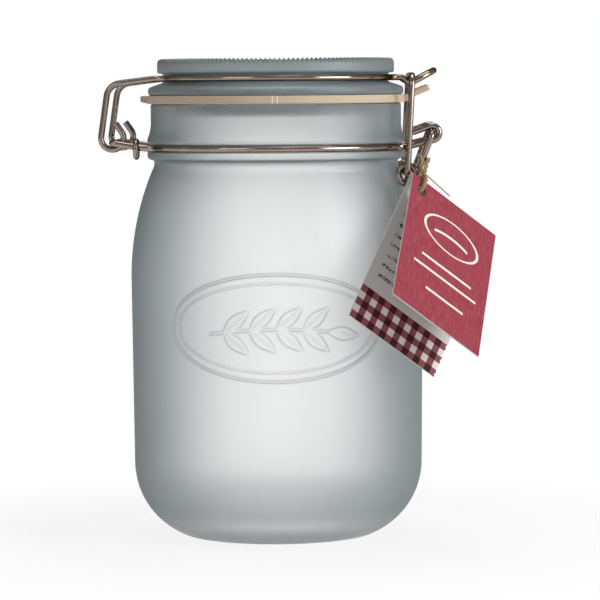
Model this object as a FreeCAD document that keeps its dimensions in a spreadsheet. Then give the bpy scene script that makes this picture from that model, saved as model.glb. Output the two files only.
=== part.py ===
"""Clip-top preserving jar: glass jar and lid, rubber gasket, sprung wire hinge and latch, folded swing tag.

Frame: millimetres, +Z up, origin on the jar's axis at the surface it stands on. The hinge is on -X and
the latch on +X. Every driving dimension is a cell of the sheet "Sizes"; the rest is worked out from them.
"""
import FreeCAD, Part

import math
import os

import Sketcher

Vector = FreeCAD.Vector

DOC = FreeCAD.newDocument("ClipTopJar")
SHEET = DOC.addObject("Spreadsheet::Sheet", "Sizes")

# alias: (size in millimetres or degrees, or a count, what it measures)
SIZES = {
    # jar
    "jar_height": (156.8, "rim above the table"),
    "body_radius": (53.65, "widest point of the body"),
    "waist_taper": (0.6, "body narrower than that just above the heel"),
    "heel_height": (26.6, "top of the rounded heel"),
    "heel_curve": (28.5, "radius of the heel's section"),
    "foot_width": (3.4, "width of the ring that the jar stands on"),
    "push_up": (2.4, "rise of the underside inside the foot"),
    "push_run": (5.0, "run of the slope inside the foot"),
    "shoulder_curve": (101.0, "radius of the shoulder's section"),
    "shoulder_drop": (6.779, "top of the shoulder below the neck wire"),
    "notch_radius": (44.9, "neck below the lower bead"),
    "wire_drop": (14.3, "plane of the wire round the neck below the rim"),
    "groove_play": (0.7, "neck wire's groove wider than the wire"),
    "neck_groove_radius": (45.9, "bottom of that groove"),
    "bead_radius": (47.3, "both beads beside the groove"),
    "lower_bead_width": (2.5, "lower bead"),
    "upper_bead_width": (3.2, "upper bead"),
    "bead_bevel": (0.9, "slope at a bead's edge"),
    "rim_radius": (46.0, "sealing rim"),
    "lip_round": (0.9, "rounding of the rim"),
    "mouth_radius": (41.6, "bore of the neck"),
    "wall": (3.7, "glass at the belly and shoulder"),
    "base_thickness": (7.2, "glass under the contents"),
    "inner_heel": (22.0, "radius inside the heel"),
    # lid and gasket
    "seal_gap": (0.12, "gasket clear of the rim"),
    "gasket_thickness": (3.4, "rubber ring"),
    "gasket_radius": (47.5, "outside of the rubber ring"),
    "flange_radius": (46.9, "lid's sealing flange"),
    "flange_height": (3.1, "edge of the flange"),
    "lid_shoulder_height": (2.1, "rise from flange to groove"),
    "lid_groove_height": (3.9, "groove that the bail lies in"),
    "lid_groove_radius": (41.3, "bottom of that groove"),
    "crown_height": (5.4, "knurled disc on top"),
    "crown_radius": (43.9, "knurled disc"),
    "crown_round": (1.0, "rounding of the disc's lower edge"),
    "lid_web": (8.4, "glass over the lid's hollow"),
    "plug_play": (2.0, "plug clear of the mouth"),
    "plug_depth": (6.6, "plug below the flange"),
    "plug_taper": (0.8, "draft of the plug"),
    "plug_wall": (4.0, "glass of the plug"),
    "plug_fit": (0.25, "gasket clear of the plug"),
    "grip_count": (124, "notches round the disc"),
    "grip_depth": (1.1, "depth of a notch"),
    "grip_reach": (2.6, "run of a notch in from the edge"),
    "grip_gap": (1.15, "width of a notch at the top"),
    "tab_width": (14.0, "both pull tabs of the gasket"),
    "tab_thickness": (2.7, "latch-side tab"),
    "tab_reach": (9.0, "latch-side tab past the ring"),
    "tab_rise": (5.2, "lift of that tab's tip"),
    "rear_tab_reach": (2.9, "hinge-side tab past the ring"),
    # wires
    "wire_radius": (1.15, "all the sprung wires"),
    "wire_fit": (0.05, "wire clear of a groove's floor"),
    "slip": (0.4, "wires that pass each other, side to side"),
    "bail_lift": (0.15, "bail above the middle of its groove"),
    "bail_half": (17.0, "each hinge leg from the middle"),
    "ring_bend": (5.0, "bend from a ring into a strand"),
    "hinge_reach": (11.3, "hinge bar out from the neck's beads"),
    "hinge_rise": (1.9, "hinge bar above the neck wire"),
    "hinge_turn": (-3.0, "hinge turned about the axis, degrees"),
    "hook_play": (1.8, "hooks under the hinge bar, inside, wider than its wire"),
    "leg_lean": (1.3, "top of the hinge legs out from the hinge bar"),
    "leg_drop": (2.02, "top of the hinge legs below the bail ring"),
    "small_bend": (1.6, "bends where a strand leaves the neck, the lid or the lever's arm"),
    "pin_end": (0.9, "pins stop this far past the inner wire they turn in"),
    "corner_bend": (5.5, "bend at the top of the hinge legs"),
    "stub_rise": (7.2, "free end of each hook above the hinge bar"),
    "stub_lean": (1.2, "free end of each hook in from the hinge bar"),
    "hanger_bend": (6.0, "bend where a hinge strand starts up to its bar"),
    "bar_bend": (1.5, "bends at the ends of the hinge bar"),
    "collar_in": (9.0, "collar on the near hinge strand in from the hinge bar"),
    "collar_radius": (2.9, "middle of the collar's wire"),
    "collar_wire": (1.0, "collar's wire"),
    "strand_sag": (9.0, "bend where a bail strand starts down to its leg"),
    "ear_half": (16.0, "each ear from the middle"),
    "pivot_reach": (9.5, "lever pivot out from the neck's beads"),
    "pivot_rise": (4.8, "lever pivot above the neck wire"),
    "pin_play": (0.3, "lever's pins loose in the ears' hooks"),
    "ear_tail": (7.2, "free end of each ear in from the pivot"),
    "ear_tail_rise": (0.3, "free end of each ear above the pivot"),
    "eye_off_glass": (0.25094, "lever's eyes out from the glass between its arms, measured level"),
    "pin_drop": (15.0, "link pins below the pivot"),
    "eye_play": (1.0, "link's pins loose in the lever's eyes"),
    "lift_off_glass": (4.64018, "end of the finger lift out from the shoulder"),
    "lift_drop": (34.3, "end of the finger lift below the pivot"),
    "lift_half": (11.0, "corners of the finger lift from the middle"),
    "lift_bend": (7.7, "rounded corners of the finger lift"),
    "knee_bend": (3.5, "bend of each arm below its eye"),
    "pin_bend": (1.7, "bend from an arm or leg into its pin"),
    "nose_half": (7.5, "each prong of the nose from the middle"),
    "nose_reach": (2.5, "valley of the nose out from the lid's flange"),
    "nose_drop": (2.2, "valley below the bail ring"),
    "nose_length": (9.8, "tip of the nose out from its valley"),
    "nose_rise": (4.6, "tip above the valley"),
    "valley_curve": (2.6, "radius of the valley"),
    "link_clear": (0.1, "link's bar above the nose"),
    "link_corner": (4.0, "bends at the top of the link"),
    # swing tag and twine
    "card_width": (42.0, "along the fold"),
    "card_length": (62.0, "each leaf, fold to edge"),
    "card_thickness": (0.5, "card"),
    "card_angle": (23.0, "between the leaves, degrees"),
    "fold_turn": (31.4, "hung tag's fold away from +X, degrees"),
    "fold_dip": (33.4, "hung tag's fold below level, degrees"),
    "leaf_swing": (21.5, "hung tag's foot forward of its fold, degrees"),
    "hole_in": (4.8, "hole from both edges"),
    "hole_radius": (2.2, "punched hole"),
    "tag_clear": (6.8, "hung corner of the tag in front of the link, at least"),
    "tag_out": (2.2, "hung corner of the tag out from the link pins"),
    "tag_drop": (0.6, "hung corner of the tag below the link pins"),
    "tag_set_in": (25.45, "hung corner of the tag behind the front of the body, at most"),
    "twine_radius": (0.8, "jute twine"),
    "twine_play": (0.15, "twine clear of the card and the latch"),
    "knot_radius": (1.7, "knot between its two loops"),
}

for row, (alias, (number, meaning)) in enumerate(SIZES.items(), start=1):
    SHEET.set(f"A{row}", meaning)
    SHEET.set(f"B{row}", str(number))
    SHEET.setAlias(f"B{row}", alias)
DOC.recompute()


class Size:
    """A length that knows both its value now and the expression that ties it to the sheet."""

    def __init__(self, text, value):
        self.text = text
        self.value = float(value)

    @staticmethod
    def of(other):
        return other if isinstance(other, Size) else Size(repr(float(other)), other)

    def __add__(self, other):
        other = Size.of(other)
        return Size(f"({self.text} + {other.text})", self.value + other.value)

    def __sub__(self, other):
        other = Size.of(other)
        return Size(f"({self.text} - {other.text})", self.value - other.value)

    def __mul__(self, other):
        other = Size.of(other)
        return Size(f"({self.text} * {other.text})", self.value * other.value)

    def __truediv__(self, other):
        other = Size.of(other)
        return Size(f"({self.text} / {other.text})", self.value / other.value)

    def __neg__(self):
        return Size(f"(0 - {self.text})", -self.value)


def size(alias):
    """The named cell as a Size."""
    return Size(f"Sizes.{alias}", getattr(SHEET, alias))


def mm(alias):
    """The named cell as a plain number."""
    return float(getattr(SHEET, alias))


ZERO = Size("0", 0)


# ---------------------------------------------------------------- sketches and solids of revolution
def new_body(name):
    body = DOC.addObject("PartDesign::Body", name)
    body.Label = name
    return body


def origin_plane(body, role):
    return next(f for f in body.Origin.OriginFeatures if f.Role == role)


def new_sketch(body, name, role="XZ_Plane"):
    sketch = body.newObject("Sketcher::SketchObject", name)
    sketch.AttachmentSupport = [(origin_plane(body, role), "")]
    sketch.MapMode = "FlatFace"
    return sketch


def pin_point(sketch, geo, pos, across, up):
    """Ties one end of a piece of geometry to its two sizes; an end at 0 lies on the sketch's own axis."""
    for kind, axis_line, length in (("DistanceX", -2, across), ("DistanceY", -1, up)):
        if abs(length.value) < 1e-9:
            sketch.addConstraint(Sketcher.Constraint("PointOnObject", geo, pos, axis_line))
            continue
        at = sketch.addConstraint(Sketcher.Constraint(kind, geo, pos, length.value))
        sketch.setExpression(f"Constraints[{at}]", length.text)


def draw_outline(sketch, steps):
    """Closes an outline. A step is (across, up) for a corner, or (across, up, centre across, centre up,
    radius, turn) for a corner that is reached by an arc, with turn +1 anticlockwise and -1 clockwise.
    A corner's size may be None where the arc beside it settles it."""
    count = len(steps)
    values = [settled(steps, i) for i in range(count)]
    for i, step in enumerate(steps):
        start = Vector(*values[i - 1], 0)
        end = Vector(*values[i], 0)
        if len(step) == 2:
            sketch.addGeometry(Part.LineSegment(start, end))
            continue
        centre = Vector(step[2].value, step[3].value, 0)
        first, last = (start, end) if step[5] > 0 else (end, start)
        angles = [math.atan2(p.y - centre.y, p.x - centre.x) for p in (first, last)]
        if angles[1] < angles[0]:
            angles[1] += 2 * math.pi
        circle = Part.Circle(centre, Vector(0, 0, 1), step[4].value)
        sketch.addGeometry(Part.ArcOfCircle(circle, *angles))
    ends = [(1, 2) if len(s) == 2 or s[5] > 0 else (2, 1) for s in steps]
    for i in range(count):
        after = (i + 1) % count
        link = Sketcher.Constraint("Coincident", i, ends[i][1], after, ends[after][0])
        sketch.addConstraint(link)
    for i, step in enumerate(steps):
        if step[0] is not None and step[1] is not None:
            pin_point(sketch, i, ends[i][1], step[0], step[1])
        elif step[0] is not None:
            at = sketch.addConstraint(
                Sketcher.Constraint("DistanceX", i, ends[i][1], step[0].value)
            )
            sketch.setExpression(f"Constraints[{at}]", step[0].text)
        else:
            pin_height(sketch, i, ends[i][1], step[1])
        if len(step) > 2 and (None in step or free_end(steps, i)):
            pin_point(sketch, i, 3, step[2], step[3])
        elif len(step) > 2:
            at = sketch.addConstraint(Sketcher.Constraint("Radius", i, step[4].value))
            sketch.setExpression(f"Constraints[{at}]", step[4].text)


def pin_height(sketch, geo, pos, up):
    if abs(up.value) < 1e-9:
        sketch.addConstraint(Sketcher.Constraint("PointOnObject", geo, pos, -1))
        return
    at = sketch.addConstraint(Sketcher.Constraint("DistanceY", geo, pos, up.value))
    sketch.setExpression(f"Constraints[{at}]", up.text)


def free_end(steps, i):
    """Whether the corner before step i is settled by the arc."""
    return steps[i - 1][0] is None or steps[i - 1][1] is None


def settled(steps, i):
    """A corner's two values, with one that is None taken from the arc that ends or starts there."""
    step = steps[i]
    arc = step if len(step) > 2 else steps[(i + 1) % len(steps)]
    if step[0] is not None and step[1] is not None:
        return step[0].value, step[1].value
    middle = arc[2].value, arc[3].value
    if step[0] is None:
        rise = step[1].value - middle[1]
        return middle[0] + math.sqrt(arc[4].value ** 2 - rise**2), step[1].value
    run = step[0].value - middle[0]
    return step[0].value, middle[1] + math.sqrt(arc[4].value ** 2 - run**2)


def revolve_body(name, steps):
    body = new_body(name)
    sketch = new_sketch(body, f"{name}_section")
    draw_outline(sketch, steps)
    turn = body.newObject("PartDesign::Revolution", f"{name}_turned")
    turn.Profile = sketch
    turn.ReferenceAxis = (sketch, ["V_Axis"])
    turn.Angle = 360
    return body


# ---------------------------------------------------------------- jar
def neck_height():
    """Plane of the wire round the neck, as a Size."""
    return size("jar_height") - size("wire_drop")


def belly_height():
    """Height of the body's widest point, where the shoulder's curve starts, as a Size."""
    curve, step = mm("shoulder_curve"), mm("body_radius") - mm("notch_radius")
    text = "sqrt(Sizes.shoulder_curve^2 - (Sizes.shoulder_curve - Sizes.body_radius + Sizes.notch_radius)^2)"
    rise = Size(text, math.sqrt(curve**2 - (curve - step) ** 2))
    return neck_height() - size("shoulder_drop") - rise


def glass_out(height, aside):
    """How far out the shoulder's glass is at a height and a distance beside the middle plane."""
    curve = mm("shoulder_curve")
    lean = math.sqrt(curve**2 - (height - belly_height().value) ** 2)
    return math.sqrt((mm("body_radius") - curve + lean) ** 2 - aside**2)


def make_jar():
    body_radius, belly, heel = size("body_radius"), belly_height(), size("heel_height")
    waist, heel_curve = body_radius - size("waist_taper"), size("heel_curve")
    foot = waist.value - heel_curve.value + math.sqrt(heel_curve.value**2 - heel.value**2)
    run = "sqrt(Sizes.heel_curve^2 - Sizes.heel_height^2)"
    foot_outer = Size(f"({waist.text} - {heel_curve.text} + {run})", foot)
    foot_inner = foot_outer - size("foot_width")
    wire, groove = neck_height(), size("wire_radius") + size("groove_play") / 2
    bevel, bead = size("bead_bevel"), size("bead_radius")
    low_bead = wire - groove - size("lower_bead_width")
    high_bead = wire + groove + size("upper_bead_width")
    notch, rim, lip = size("notch_radius"), size("rim_radius"), size("lip_round")
    top, mouth, wall = size("jar_height"), size("mouth_radius"), size("wall")
    shoulder = size("shoulder_curve")
    centre = body_radius - shoulder
    inner, floor, inner_heel = body_radius - wall, size("base_thickness"), size("inner_heel")
    groove_floor = size("neck_groove_radius")
    steps = [
        (ZERO, size("push_up")),
        (foot_inner - size("push_run"), size("push_up")),
        (foot_inner, ZERO),
        (foot_outer, ZERO),
        (waist, heel, waist - heel_curve, heel, heel_curve, 1),
        (body_radius, belly),
        (notch, None, centre, belly, shoulder, 1),
        (notch, low_bead - bevel),
        (bead, low_bead),
        (bead, wire - groove),
        (groove_floor, wire - groove + bevel * 0.4),
        (groove_floor, wire + groove - bevel * 0.4),
        (bead, wire + groove),
        (bead, high_bead - bevel),
        (rim, high_bead),
        (rim, top - lip),
        (rim - lip, top, rim - lip, top - lip, lip, 1),
        (mouth + lip, top),
        (mouth, top - lip, mouth + lip, top - lip, lip, 1),
        (mouth, None),
        (inner, belly, centre, belly, shoulder - wall, -1),
        (inner, floor + inner_heel),
        (inner - inner_heel, floor, inner - inner_heel, floor + inner_heel, inner_heel, -1),
        (ZERO, floor),
    ]
    return revolve_body("jar", steps)


# ---------------------------------------------------------------- lid
def make_lid():
    base = size("jar_height") + size("seal_gap") + size("gasket_thickness")
    flange_top = base + size("flange_height")
    groove_low = flange_top + size("lid_shoulder_height")
    groove_high = groove_low + size("lid_groove_height")
    top = groove_high + size("crown_height")
    crown, rounding = size("crown_radius"), size("crown_round")
    plug = size("mouth_radius") - size("plug_play")
    hollow, draft = plug - size("plug_wall"), size("plug_taper")
    foot = base - size("plug_depth")
    ceiling = top - size("lid_web")
    steps = [
        (ZERO, ceiling),
        (hollow - draft, ceiling),
        (hollow, foot),
        (plug - draft, foot),
        (plug, base),
        (size("flange_radius"), base),
        (size("flange_radius"), flange_top),
        (size("lid_groove_radius") + draft, groove_low),
        (size("lid_groove_radius"), groove_low + draft * 0.5),
        (size("lid_groove_radius"), groove_high),
        (crown - rounding, groove_high),
        (crown, groove_high + rounding, crown - rounding, groove_high + rounding, rounding, 1),
        (crown, top),
        (ZERO, top),
    ]
    body = revolve_body("lid", steps)
    cut_grip(body, top)
    return body


def cut_grip(body, top):
    """Radial notches all round the disc's top edge, for the fingers."""
    sketch = new_sketch(body, "lid_notch", "YZ_Plane")
    reach = size("crown_radius") - size("grip_reach")
    sketch.setExpression("AttachmentOffset.Base.z", reach.text)
    half, over = size("grip_gap") / 2, size("grip_depth")
    steps = [(half, top + over), (-half, top + over), (-half, top), (ZERO, top - over), (half, top)]
    draw_outline(sketch, steps)
    notch = body.newObject("PartDesign::Pocket", "lid_notch_cut")
    notch.Profile = sketch
    notch.setExpression("Length", (size("grip_reach") * 2).text)
    notch.Reversed = True
    DOC.recompute()
    round_it = body.newObject("PartDesign::PolarPattern", "lid_grip")
    round_it.Originals = [notch]
    round_it.Axis = (body.Group[0], ["V_Axis"])
    round_it.Angle = 360
    round_it.setExpression("Occurrences", "Sizes.grip_count")
    body.Tip = round_it


# ---------------------------------------------------------------- gasket
def make_gasket():
    low = size("jar_height") + size("seal_gap")
    high = low + size("gasket_thickness")
    hole = size("mouth_radius") - size("plug_play") + size("plug_fit")
    edge = size("gasket_radius")
    body = revolve_body("gasket", [(hole, low), (edge, low), (edge, high), (hole, high)])
    reach, rise, thick = size("tab_reach"), size("tab_rise"), size("tab_thickness")
    root = edge - 2.0
    bend = edge + 0.6
    front = [
        (root, low + 0.4),
        (bend, low + 0.4),
        (bend + reach * 0.35, low + rise * 0.62),
        (edge + reach, low + rise + 0.4),
        (edge + reach - 0.9, low + rise + thick),
        (bend + reach * 0.3, low + rise * 0.62 + thick),
        (bend, high),
        (root, high),
    ]
    tip = -(edge + size("rear_tab_reach"))
    rear = [(-root, low + 1.1), (-root, high), (-edge, high), (tip, high + 0.4), (tip, low + 1.6)]
    for name, steps in (("gasket_tab", front), ("gasket_rear_tab", rear)):
        sketch = new_sketch(body, name)
        draw_outline(sketch, steps)
        tab = body.newObject("PartDesign::Pad", f"{name}_pad")
        tab.Profile = sketch
        tab.setExpression("Length", "Sizes.tab_width")
        tab.Midplane = True
    return body


# ---------------------------------------------------------------- bent wire
def arc_edge(start, middle, end):
    return Part.Arc(start, middle, end).toShape()


def line_edge(start, end):
    return Part.LineSegment(start, end).toShape()


def bent(points, radius):
    """A run of straight edges through the points, with a tangent arc of the radius at each corner. A
    radius may be one number or one for each corner."""
    corners = len(points) - 2
    radii = [radius] * corners if not isinstance(radius, (list, tuple)) else list(radius)
    edges, at = [], points[0]
    for i in range(1, corners + 1):
        corner = points[i]
        back, on = (points[i - 1] - corner).normalize(), (points[i + 1] - corner).normalize()
        half = back.getAngle(on) / 2
        cut = radii[i - 1] / math.tan(half)
        start, end = corner + back * cut, corner + on * cut
        centre = corner + (back + on).normalize() * (radii[i - 1] / math.sin(half))
        middle = centre + (corner - centre).normalize() * radii[i - 1]
        if (start - at).Length > 1e-6:
            edges.append(line_edge(at, start))
        edges.append(arc_edge(start, middle, end))
        at = end
    edges.append(line_edge(at, points[-1]))
    return edges


def rod(edges, radius):
    """Round wire along edges that meet tangentially: a cylinder on each line, a torus on each arc."""
    pieces = []
    for edge in edges:
        start = edge.valueAt(edge.FirstParameter)
        along = edge.tangentAt(edge.FirstParameter)
        disc = Part.Face(Part.Wire(Part.Circle(start, along, radius).toShape()))
        curve = edge.Curve
        if isinstance(curve, Part.Line):
            pieces.append(disc.extrude(along * edge.Length))
        else:
            angle = math.degrees(edge.Length / curve.Radius)
            pieces.append(disc.revolve(curve.Center, curve.Axis, angle))
    solid = pieces[0].multiFuse(pieces[1:]) if len(pieces) > 1 else pieces[0]
    solid = solid.removeSplitter()
    return solid.Solids[0] if len(solid.Solids) == 1 else solid


def ring_bend(ring, half, bend, side):
    """Where a ring of wire bends into a strand beside the middle plane. Returns (angle on the ring, the
    bend's middle, the strand's start) for the strand at +half, leaving towards side (+1 or -1) X."""
    across = side * math.sqrt((ring + bend) ** 2 - (half + bend) ** 2)
    centre = Vector(across, half + bend, 0)
    on_ring = centre * (ring / (ring + bend))
    start = Vector(across, half, 0)
    middle = centre + ((on_ring + start) * 0.5 - centre).normalize() * bend
    return on_ring, middle, start


def mirrored(point, near):
    """The point on the near (-Y) side of the middle plane, or as given on the far side."""
    return Vector(point.x, -point.y, point.z) if near else Vector(point)


def turned(point, degrees):
    """The point turned about the jar's axis."""
    angle = math.radians(degrees)
    return Vector(
        point.x * math.cos(angle) - point.y * math.sin(angle),
        point.x * math.sin(angle) + point.y * math.cos(angle),
        point.z,
    )


def ring_arc(start, end, height):
    """The arc about the jar's axis from start to end, the short way round."""
    middle = (start + end) * 0.5
    middle.z = 0
    radius = Vector(start.x, start.y, 0).Length
    middle = middle.normalize() * radius
    lift = Vector(0, 0, height)
    return arc_edge(start + lift, middle + lift, end + lift)


def flipped(edges):
    """The same run of edges taken the other way."""
    out = []
    for edge in reversed(edges):
        start, end = edge.valueAt(edge.LastParameter), edge.valueAt(edge.FirstParameter)
        if isinstance(edge.Curve, Part.Line):
            out.append(line_edge(start, end))
        else:
            middle = edge.valueAt((edge.FirstParameter + edge.LastParameter) / 2)
            out.append(arc_edge(start, middle, end))
    return out


def hinge_bar():
    """Middle of the hinge bar, before the hinge's turn about the axis."""
    return Vector(-mm("bead_radius") - mm("hinge_reach"), 0, neck_height().value + mm("hinge_rise"))


def lever_pivot():
    """Middle of the lever's pivot."""
    return Vector(mm("bead_radius") + mm("pivot_reach"), 0, neck_height().value + mm("pivot_rise"))


def link_pin():
    """Middle between the link's pins, with the lever's eyes just clear of the glass."""
    height = lever_pivot().z - mm("pin_drop")
    glass = glass_out(height, lever_half() - mm("wire_radius"))
    return Vector(glass + mm("eye_off_glass") + eye_curve() + mm("wire_radius"), 0, height)


def eye_curve():
    """Radius of the lever's eyes."""
    return 2 * mm("wire_radius") + mm("eye_play")


def add_feature(name, shape):
    feature = DOC.addObject("Part::Feature", name)
    feature.Label = name
    feature.Shape = shape
    feature.Placement = FreeCAD.Placement()
    return feature


def bail_ring_height():
    groove = mm("jar_height") + mm("seal_gap") + mm("gasket_thickness") + mm("flange_height")
    groove += mm("lid_shoulder_height") + mm("lid_groove_height") / 2
    return groove + mm("bail_lift")


def make_lid_bail():
    """One wire: a nose under the link, both ways round the lid's groove, then two legs that hook under
    the hinge bar."""
    wire, height = mm("wire_radius"), bail_ring_height()
    ring = mm("lid_groove_radius") + wire + mm("wire_fit")
    lift = Vector(0, 0, height)
    turn = mm("hinge_turn")
    sides = []
    for near in (True, False):
        on_ring, middle, start = ring_bend(ring, mm("nose_half"), mm("ring_bend") * 0.8, 1)
        off_ring, out_middle, out = ring_bend(ring, mm("bail_half"), mm("ring_bend"), -1)
        on_ring, middle, start = (mirrored(p, near) for p in (on_ring, middle, start))
        off_ring, out_middle, out = (turned(mirrored(p, near), turn) for p in (off_ring, out_middle, out))
        edges = flipped(nose_side(start + lift))
        edges.append(arc_edge(start + lift, middle + lift, on_ring + lift))
        edges.append(ring_arc(on_ring, off_ring, height))
        edges.append(arc_edge(off_ring + lift, out_middle + lift, out + lift))
        edges += hinge_leg(out + lift)
        sides.append(edges)
    tip_near = sides[0][0].valueAt(sides[0][0].FirstParameter)
    tip_far = sides[1][0].valueAt(sides[1][0].FirstParameter)
    along = sides[0][0].tangentAt(sides[0][0].FirstParameter) * -1
    middle = (tip_near + tip_far) * 0.5 + along * mm("nose_half")
    path = flipped(sides[0]) + [arc_edge(tip_near, middle, tip_far)] + sides[1]
    return add_feature("lid_bail", rod(path, wire))


def nose_points():
    """The nose in side view: where it leaves the ring, its valley and its tip, all on the middle plane."""
    ring = mm("lid_groove_radius") + mm("wire_radius") + mm("wire_fit")
    start = ring_bend(ring, mm("nose_half"), mm("ring_bend") * 0.8, 1)[2]
    height = bail_ring_height()
    knee = Vector(start.x + 0.9, 0, height)
    valley = Vector(mm("flange_radius") + mm("nose_reach"), 0, height - mm("nose_drop"))
    tip = valley + Vector(mm("nose_length") - mm("wire_radius"), 0, mm("nose_rise"))
    return knee, valley, tip


def nose_side(start):
    """From the bail ring out to the start of the nose's round tip, through the valley for the link."""
    across = Vector(0, start.y, 0)
    knee, valley, tip = nose_points()
    slope = tip - valley
    end = valley + slope * (1 - mm("nose_half") / slope.Length)
    points = [start, knee + across, valley + across, end + across]
    return bent(points, [mm("small_bend"), mm("valley_curve")])


def bar_seat():
    """Middle of the link's bar where it rests in the nose's valley."""
    knee, valley, tip = nose_points()
    back, on = (knee - valley).normalize(), (tip - valley).normalize()
    curve = mm("valley_curve")
    lift = curve / math.sin(back.getAngle(on) / 2) - curve
    return valley + (back + on).normalize() * (lift + 2 * mm("wire_radius") + mm("link_clear"))


def hinge_leg(start):
    """From the lid groove out to the corner, down the leg, round under the hinge bar and up the stub."""
    turn, wire = mm("hinge_turn"), mm("wire_radius")
    local = turned(start, -turn)
    half = local.y
    hook = 2 * wire + mm("hook_play")
    bar = hinge_bar() + Vector(0, half, 0)
    low = bar + Vector(0, 0, hook - 2 * wire - mm("wire_fit"))
    corner = Vector(bar.x - mm("leg_lean"), half, bail_ring_height() - mm("leg_drop"))
    stub_tip = bar + Vector(mm("stub_lean"), 0, mm("stub_rise"))
    leg_foot, stub_foot = tangent_points(low, hook, corner, stub_tip)
    knee = local - Vector(1.2, 0, 0)
    leg = bent([local, knee, corner, leg_foot], [mm("strand_sag"), mm("corner_bend")])
    bottom = low - Vector(0, 0, hook)
    edges = leg + [arc_edge(leg_foot, bottom, stub_foot), line_edge(stub_foot, stub_tip)]
    return [moved_edge(e, turn) for e in edges]


def moved_edge(edge, degrees):
    copy = edge.copy()
    copy.rotate(Vector(), Vector(0, 0, 1), degrees)
    start, end = copy.valueAt(copy.FirstParameter), copy.valueAt(copy.LastParameter)
    if isinstance(copy.Curve, Part.Line):
        return line_edge(start, end)
    middle = copy.valueAt((copy.FirstParameter + copy.LastParameter) / 2)
    return arc_edge(start, middle, end)


def tangent_points(centre, radius, left_from, right_from):
    """Where lines from two points above touch a circle in an XZ plane: on its outer (-X) side for the
    first, and on its inner (+X) side for the second."""
    found = []
    for point, side in ((left_from, 1), (right_from, -1)):
        away = point - centre
        reach = math.hypot(away.x, away.z)
        base = math.atan2(away.z, away.x)
        spread = math.acos(radius / reach)
        angle = base + side * spread
        found.append(centre + Vector(math.cos(angle), 0, math.sin(angle)) * radius)
    return found


def make_neck_wire():
    """One wire: ears with hooks for the lever, both ways round the neck's groove, then the hinge bar."""
    wire, height = mm("wire_radius"), neck_height().value
    ring = mm("neck_groove_radius") + wire + mm("wire_fit")
    lift = Vector(0, 0, height)
    turn = mm("hinge_turn")
    bend = mm("ring_bend") * 0.8
    sides = []
    for near in (True, False):
        on_ring, middle, start = (mirrored(p, near) for p in ring_bend(ring, mm("ear_half"), bend, 1))
        edges = flipped(ear_side(start + lift))
        edges.append(arc_edge(start + lift, middle + lift, on_ring + lift))
        off, out_middle, out = ring_bend(ring, bar_half(), bend, -1)
        off, out_middle, out = (turned(mirrored(p, near), turn) for p in (off, out_middle, out))
        edges.append(ring_arc(on_ring, off, height))
        edges.append(arc_edge(off + lift, out_middle + lift, out + lift))
        edges += hanger_side(out + lift)
        sides.append(edges)
    path = sides[0] + flipped(sides[1])
    return add_feature("neck_wire", rod(path, wire))


def bar_half():
    """Each hinge strand of the neck wire from the middle: just outside the bail's hooks."""
    return mm("bail_half") + 2 * mm("wire_radius") + mm("slip")


def hanger_side(start):
    """From the neck out to one end of the hinge bar and along it to the middle."""
    turn = mm("hinge_turn")
    local = turned(start, -turn)
    knee = local - Vector(1.6, 0, 0)
    end = hinge_bar()
    corner = end + Vector(0, local.y, 0)
    edges = bent([local, knee, corner, end], [mm("hanger_bend"), mm("bar_bend")])
    return [moved_edge(e, turn) for e in edges]


def ear_side(start):
    """From the neck out under the pivot, round it and back over the top to the ear's free end."""
    pivot = lever_pivot() + Vector(0, start.y, 0)
    curve = 2 * mm("wire_radius") + mm("pin_play")
    free = pivot + Vector(-mm("ear_tail"), 0, mm("ear_tail_rise"))
    knee = Vector(start.x + 1.0, start.y, start.z)
    under = tangent_below(pivot, curve, knee)
    over = tangent_above(pivot, curve, free)
    edges = bent([start, knee, under], mm("small_bend"))
    edges.append(arc_edge(under, pivot + Vector(curve, 0, 0), over))
    edges.append(line_edge(over, free))
    return edges


def tangent_below(centre, radius, point):
    """Where a line from a point on the circle's -X side touches it underneath."""
    away = point - centre
    angle = math.atan2(away.z, away.x) + math.acos(radius / math.hypot(away.x, away.z))
    return centre + Vector(math.cos(angle), 0, math.sin(angle)) * radius


def tangent_above(centre, radius, point):
    """Where a line from a point on the circle's -X side touches it on top."""
    away = point - centre
    angle = math.atan2(away.z, away.x) - math.acos(radius / math.hypot(away.x, away.z))
    return centre + Vector(math.cos(angle), 0, math.sin(angle)) * radius


def lever_half():
    return mm("ear_half") + 2 * mm("wire_radius") + mm("slip")


def link_half():
    return lever_half() + 2 * mm("wire_radius") + mm("slip")


def make_lever():
    """One wire: a pin in each ear, an arm down past an eye round each link pin, and the finger lift."""
    wire, half = mm("wire_radius"), lever_half()
    pivot, pin, eye = lever_pivot(), link_pin(), eye_curve()
    touch = touch_point(pin, eye, pivot)
    knee = touch + (touch - pivot).normalize() * (eye + wire)
    low = pivot.z - mm("lift_drop")
    end = Vector(glass_out(low, 0) + mm("lift_off_glass"), 0, low)
    sides, eyes = [], []
    for sign in (-1, 1):
        across = Vector(0, sign * half, 0)
        inner = Vector(0, sign * (mm("ear_half") - wire - mm("pin_end")), 0)
        corner = end + Vector(0, sign * mm("lift_half"), 0)
        points = [pivot + inner, pivot + across, knee + across, corner, end]
        sides.append(bent(points, [mm("pin_bend"), mm("knee_bend"), mm("lift_bend")]))
        ring = Part.makeTorus(eye, wire, pin + across, Vector(0, 1, 0))
        eyes.append(ring)
    path = sides[0] + flipped(sides[1])
    solid = rod(path, wire).multiFuse(eyes).removeSplitter()
    return add_feature("lever", solid.Solids[0])


def touch_point(centre, radius, point):
    """Where a line down from the point touches the circle in an XZ plane, on its outer (+X) side."""
    away = point - centre
    angle = math.atan2(away.z, away.x) - math.acos(radius / math.hypot(away.x, away.z))
    return centre + Vector(math.cos(angle), 0, math.sin(angle)) * radius


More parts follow.
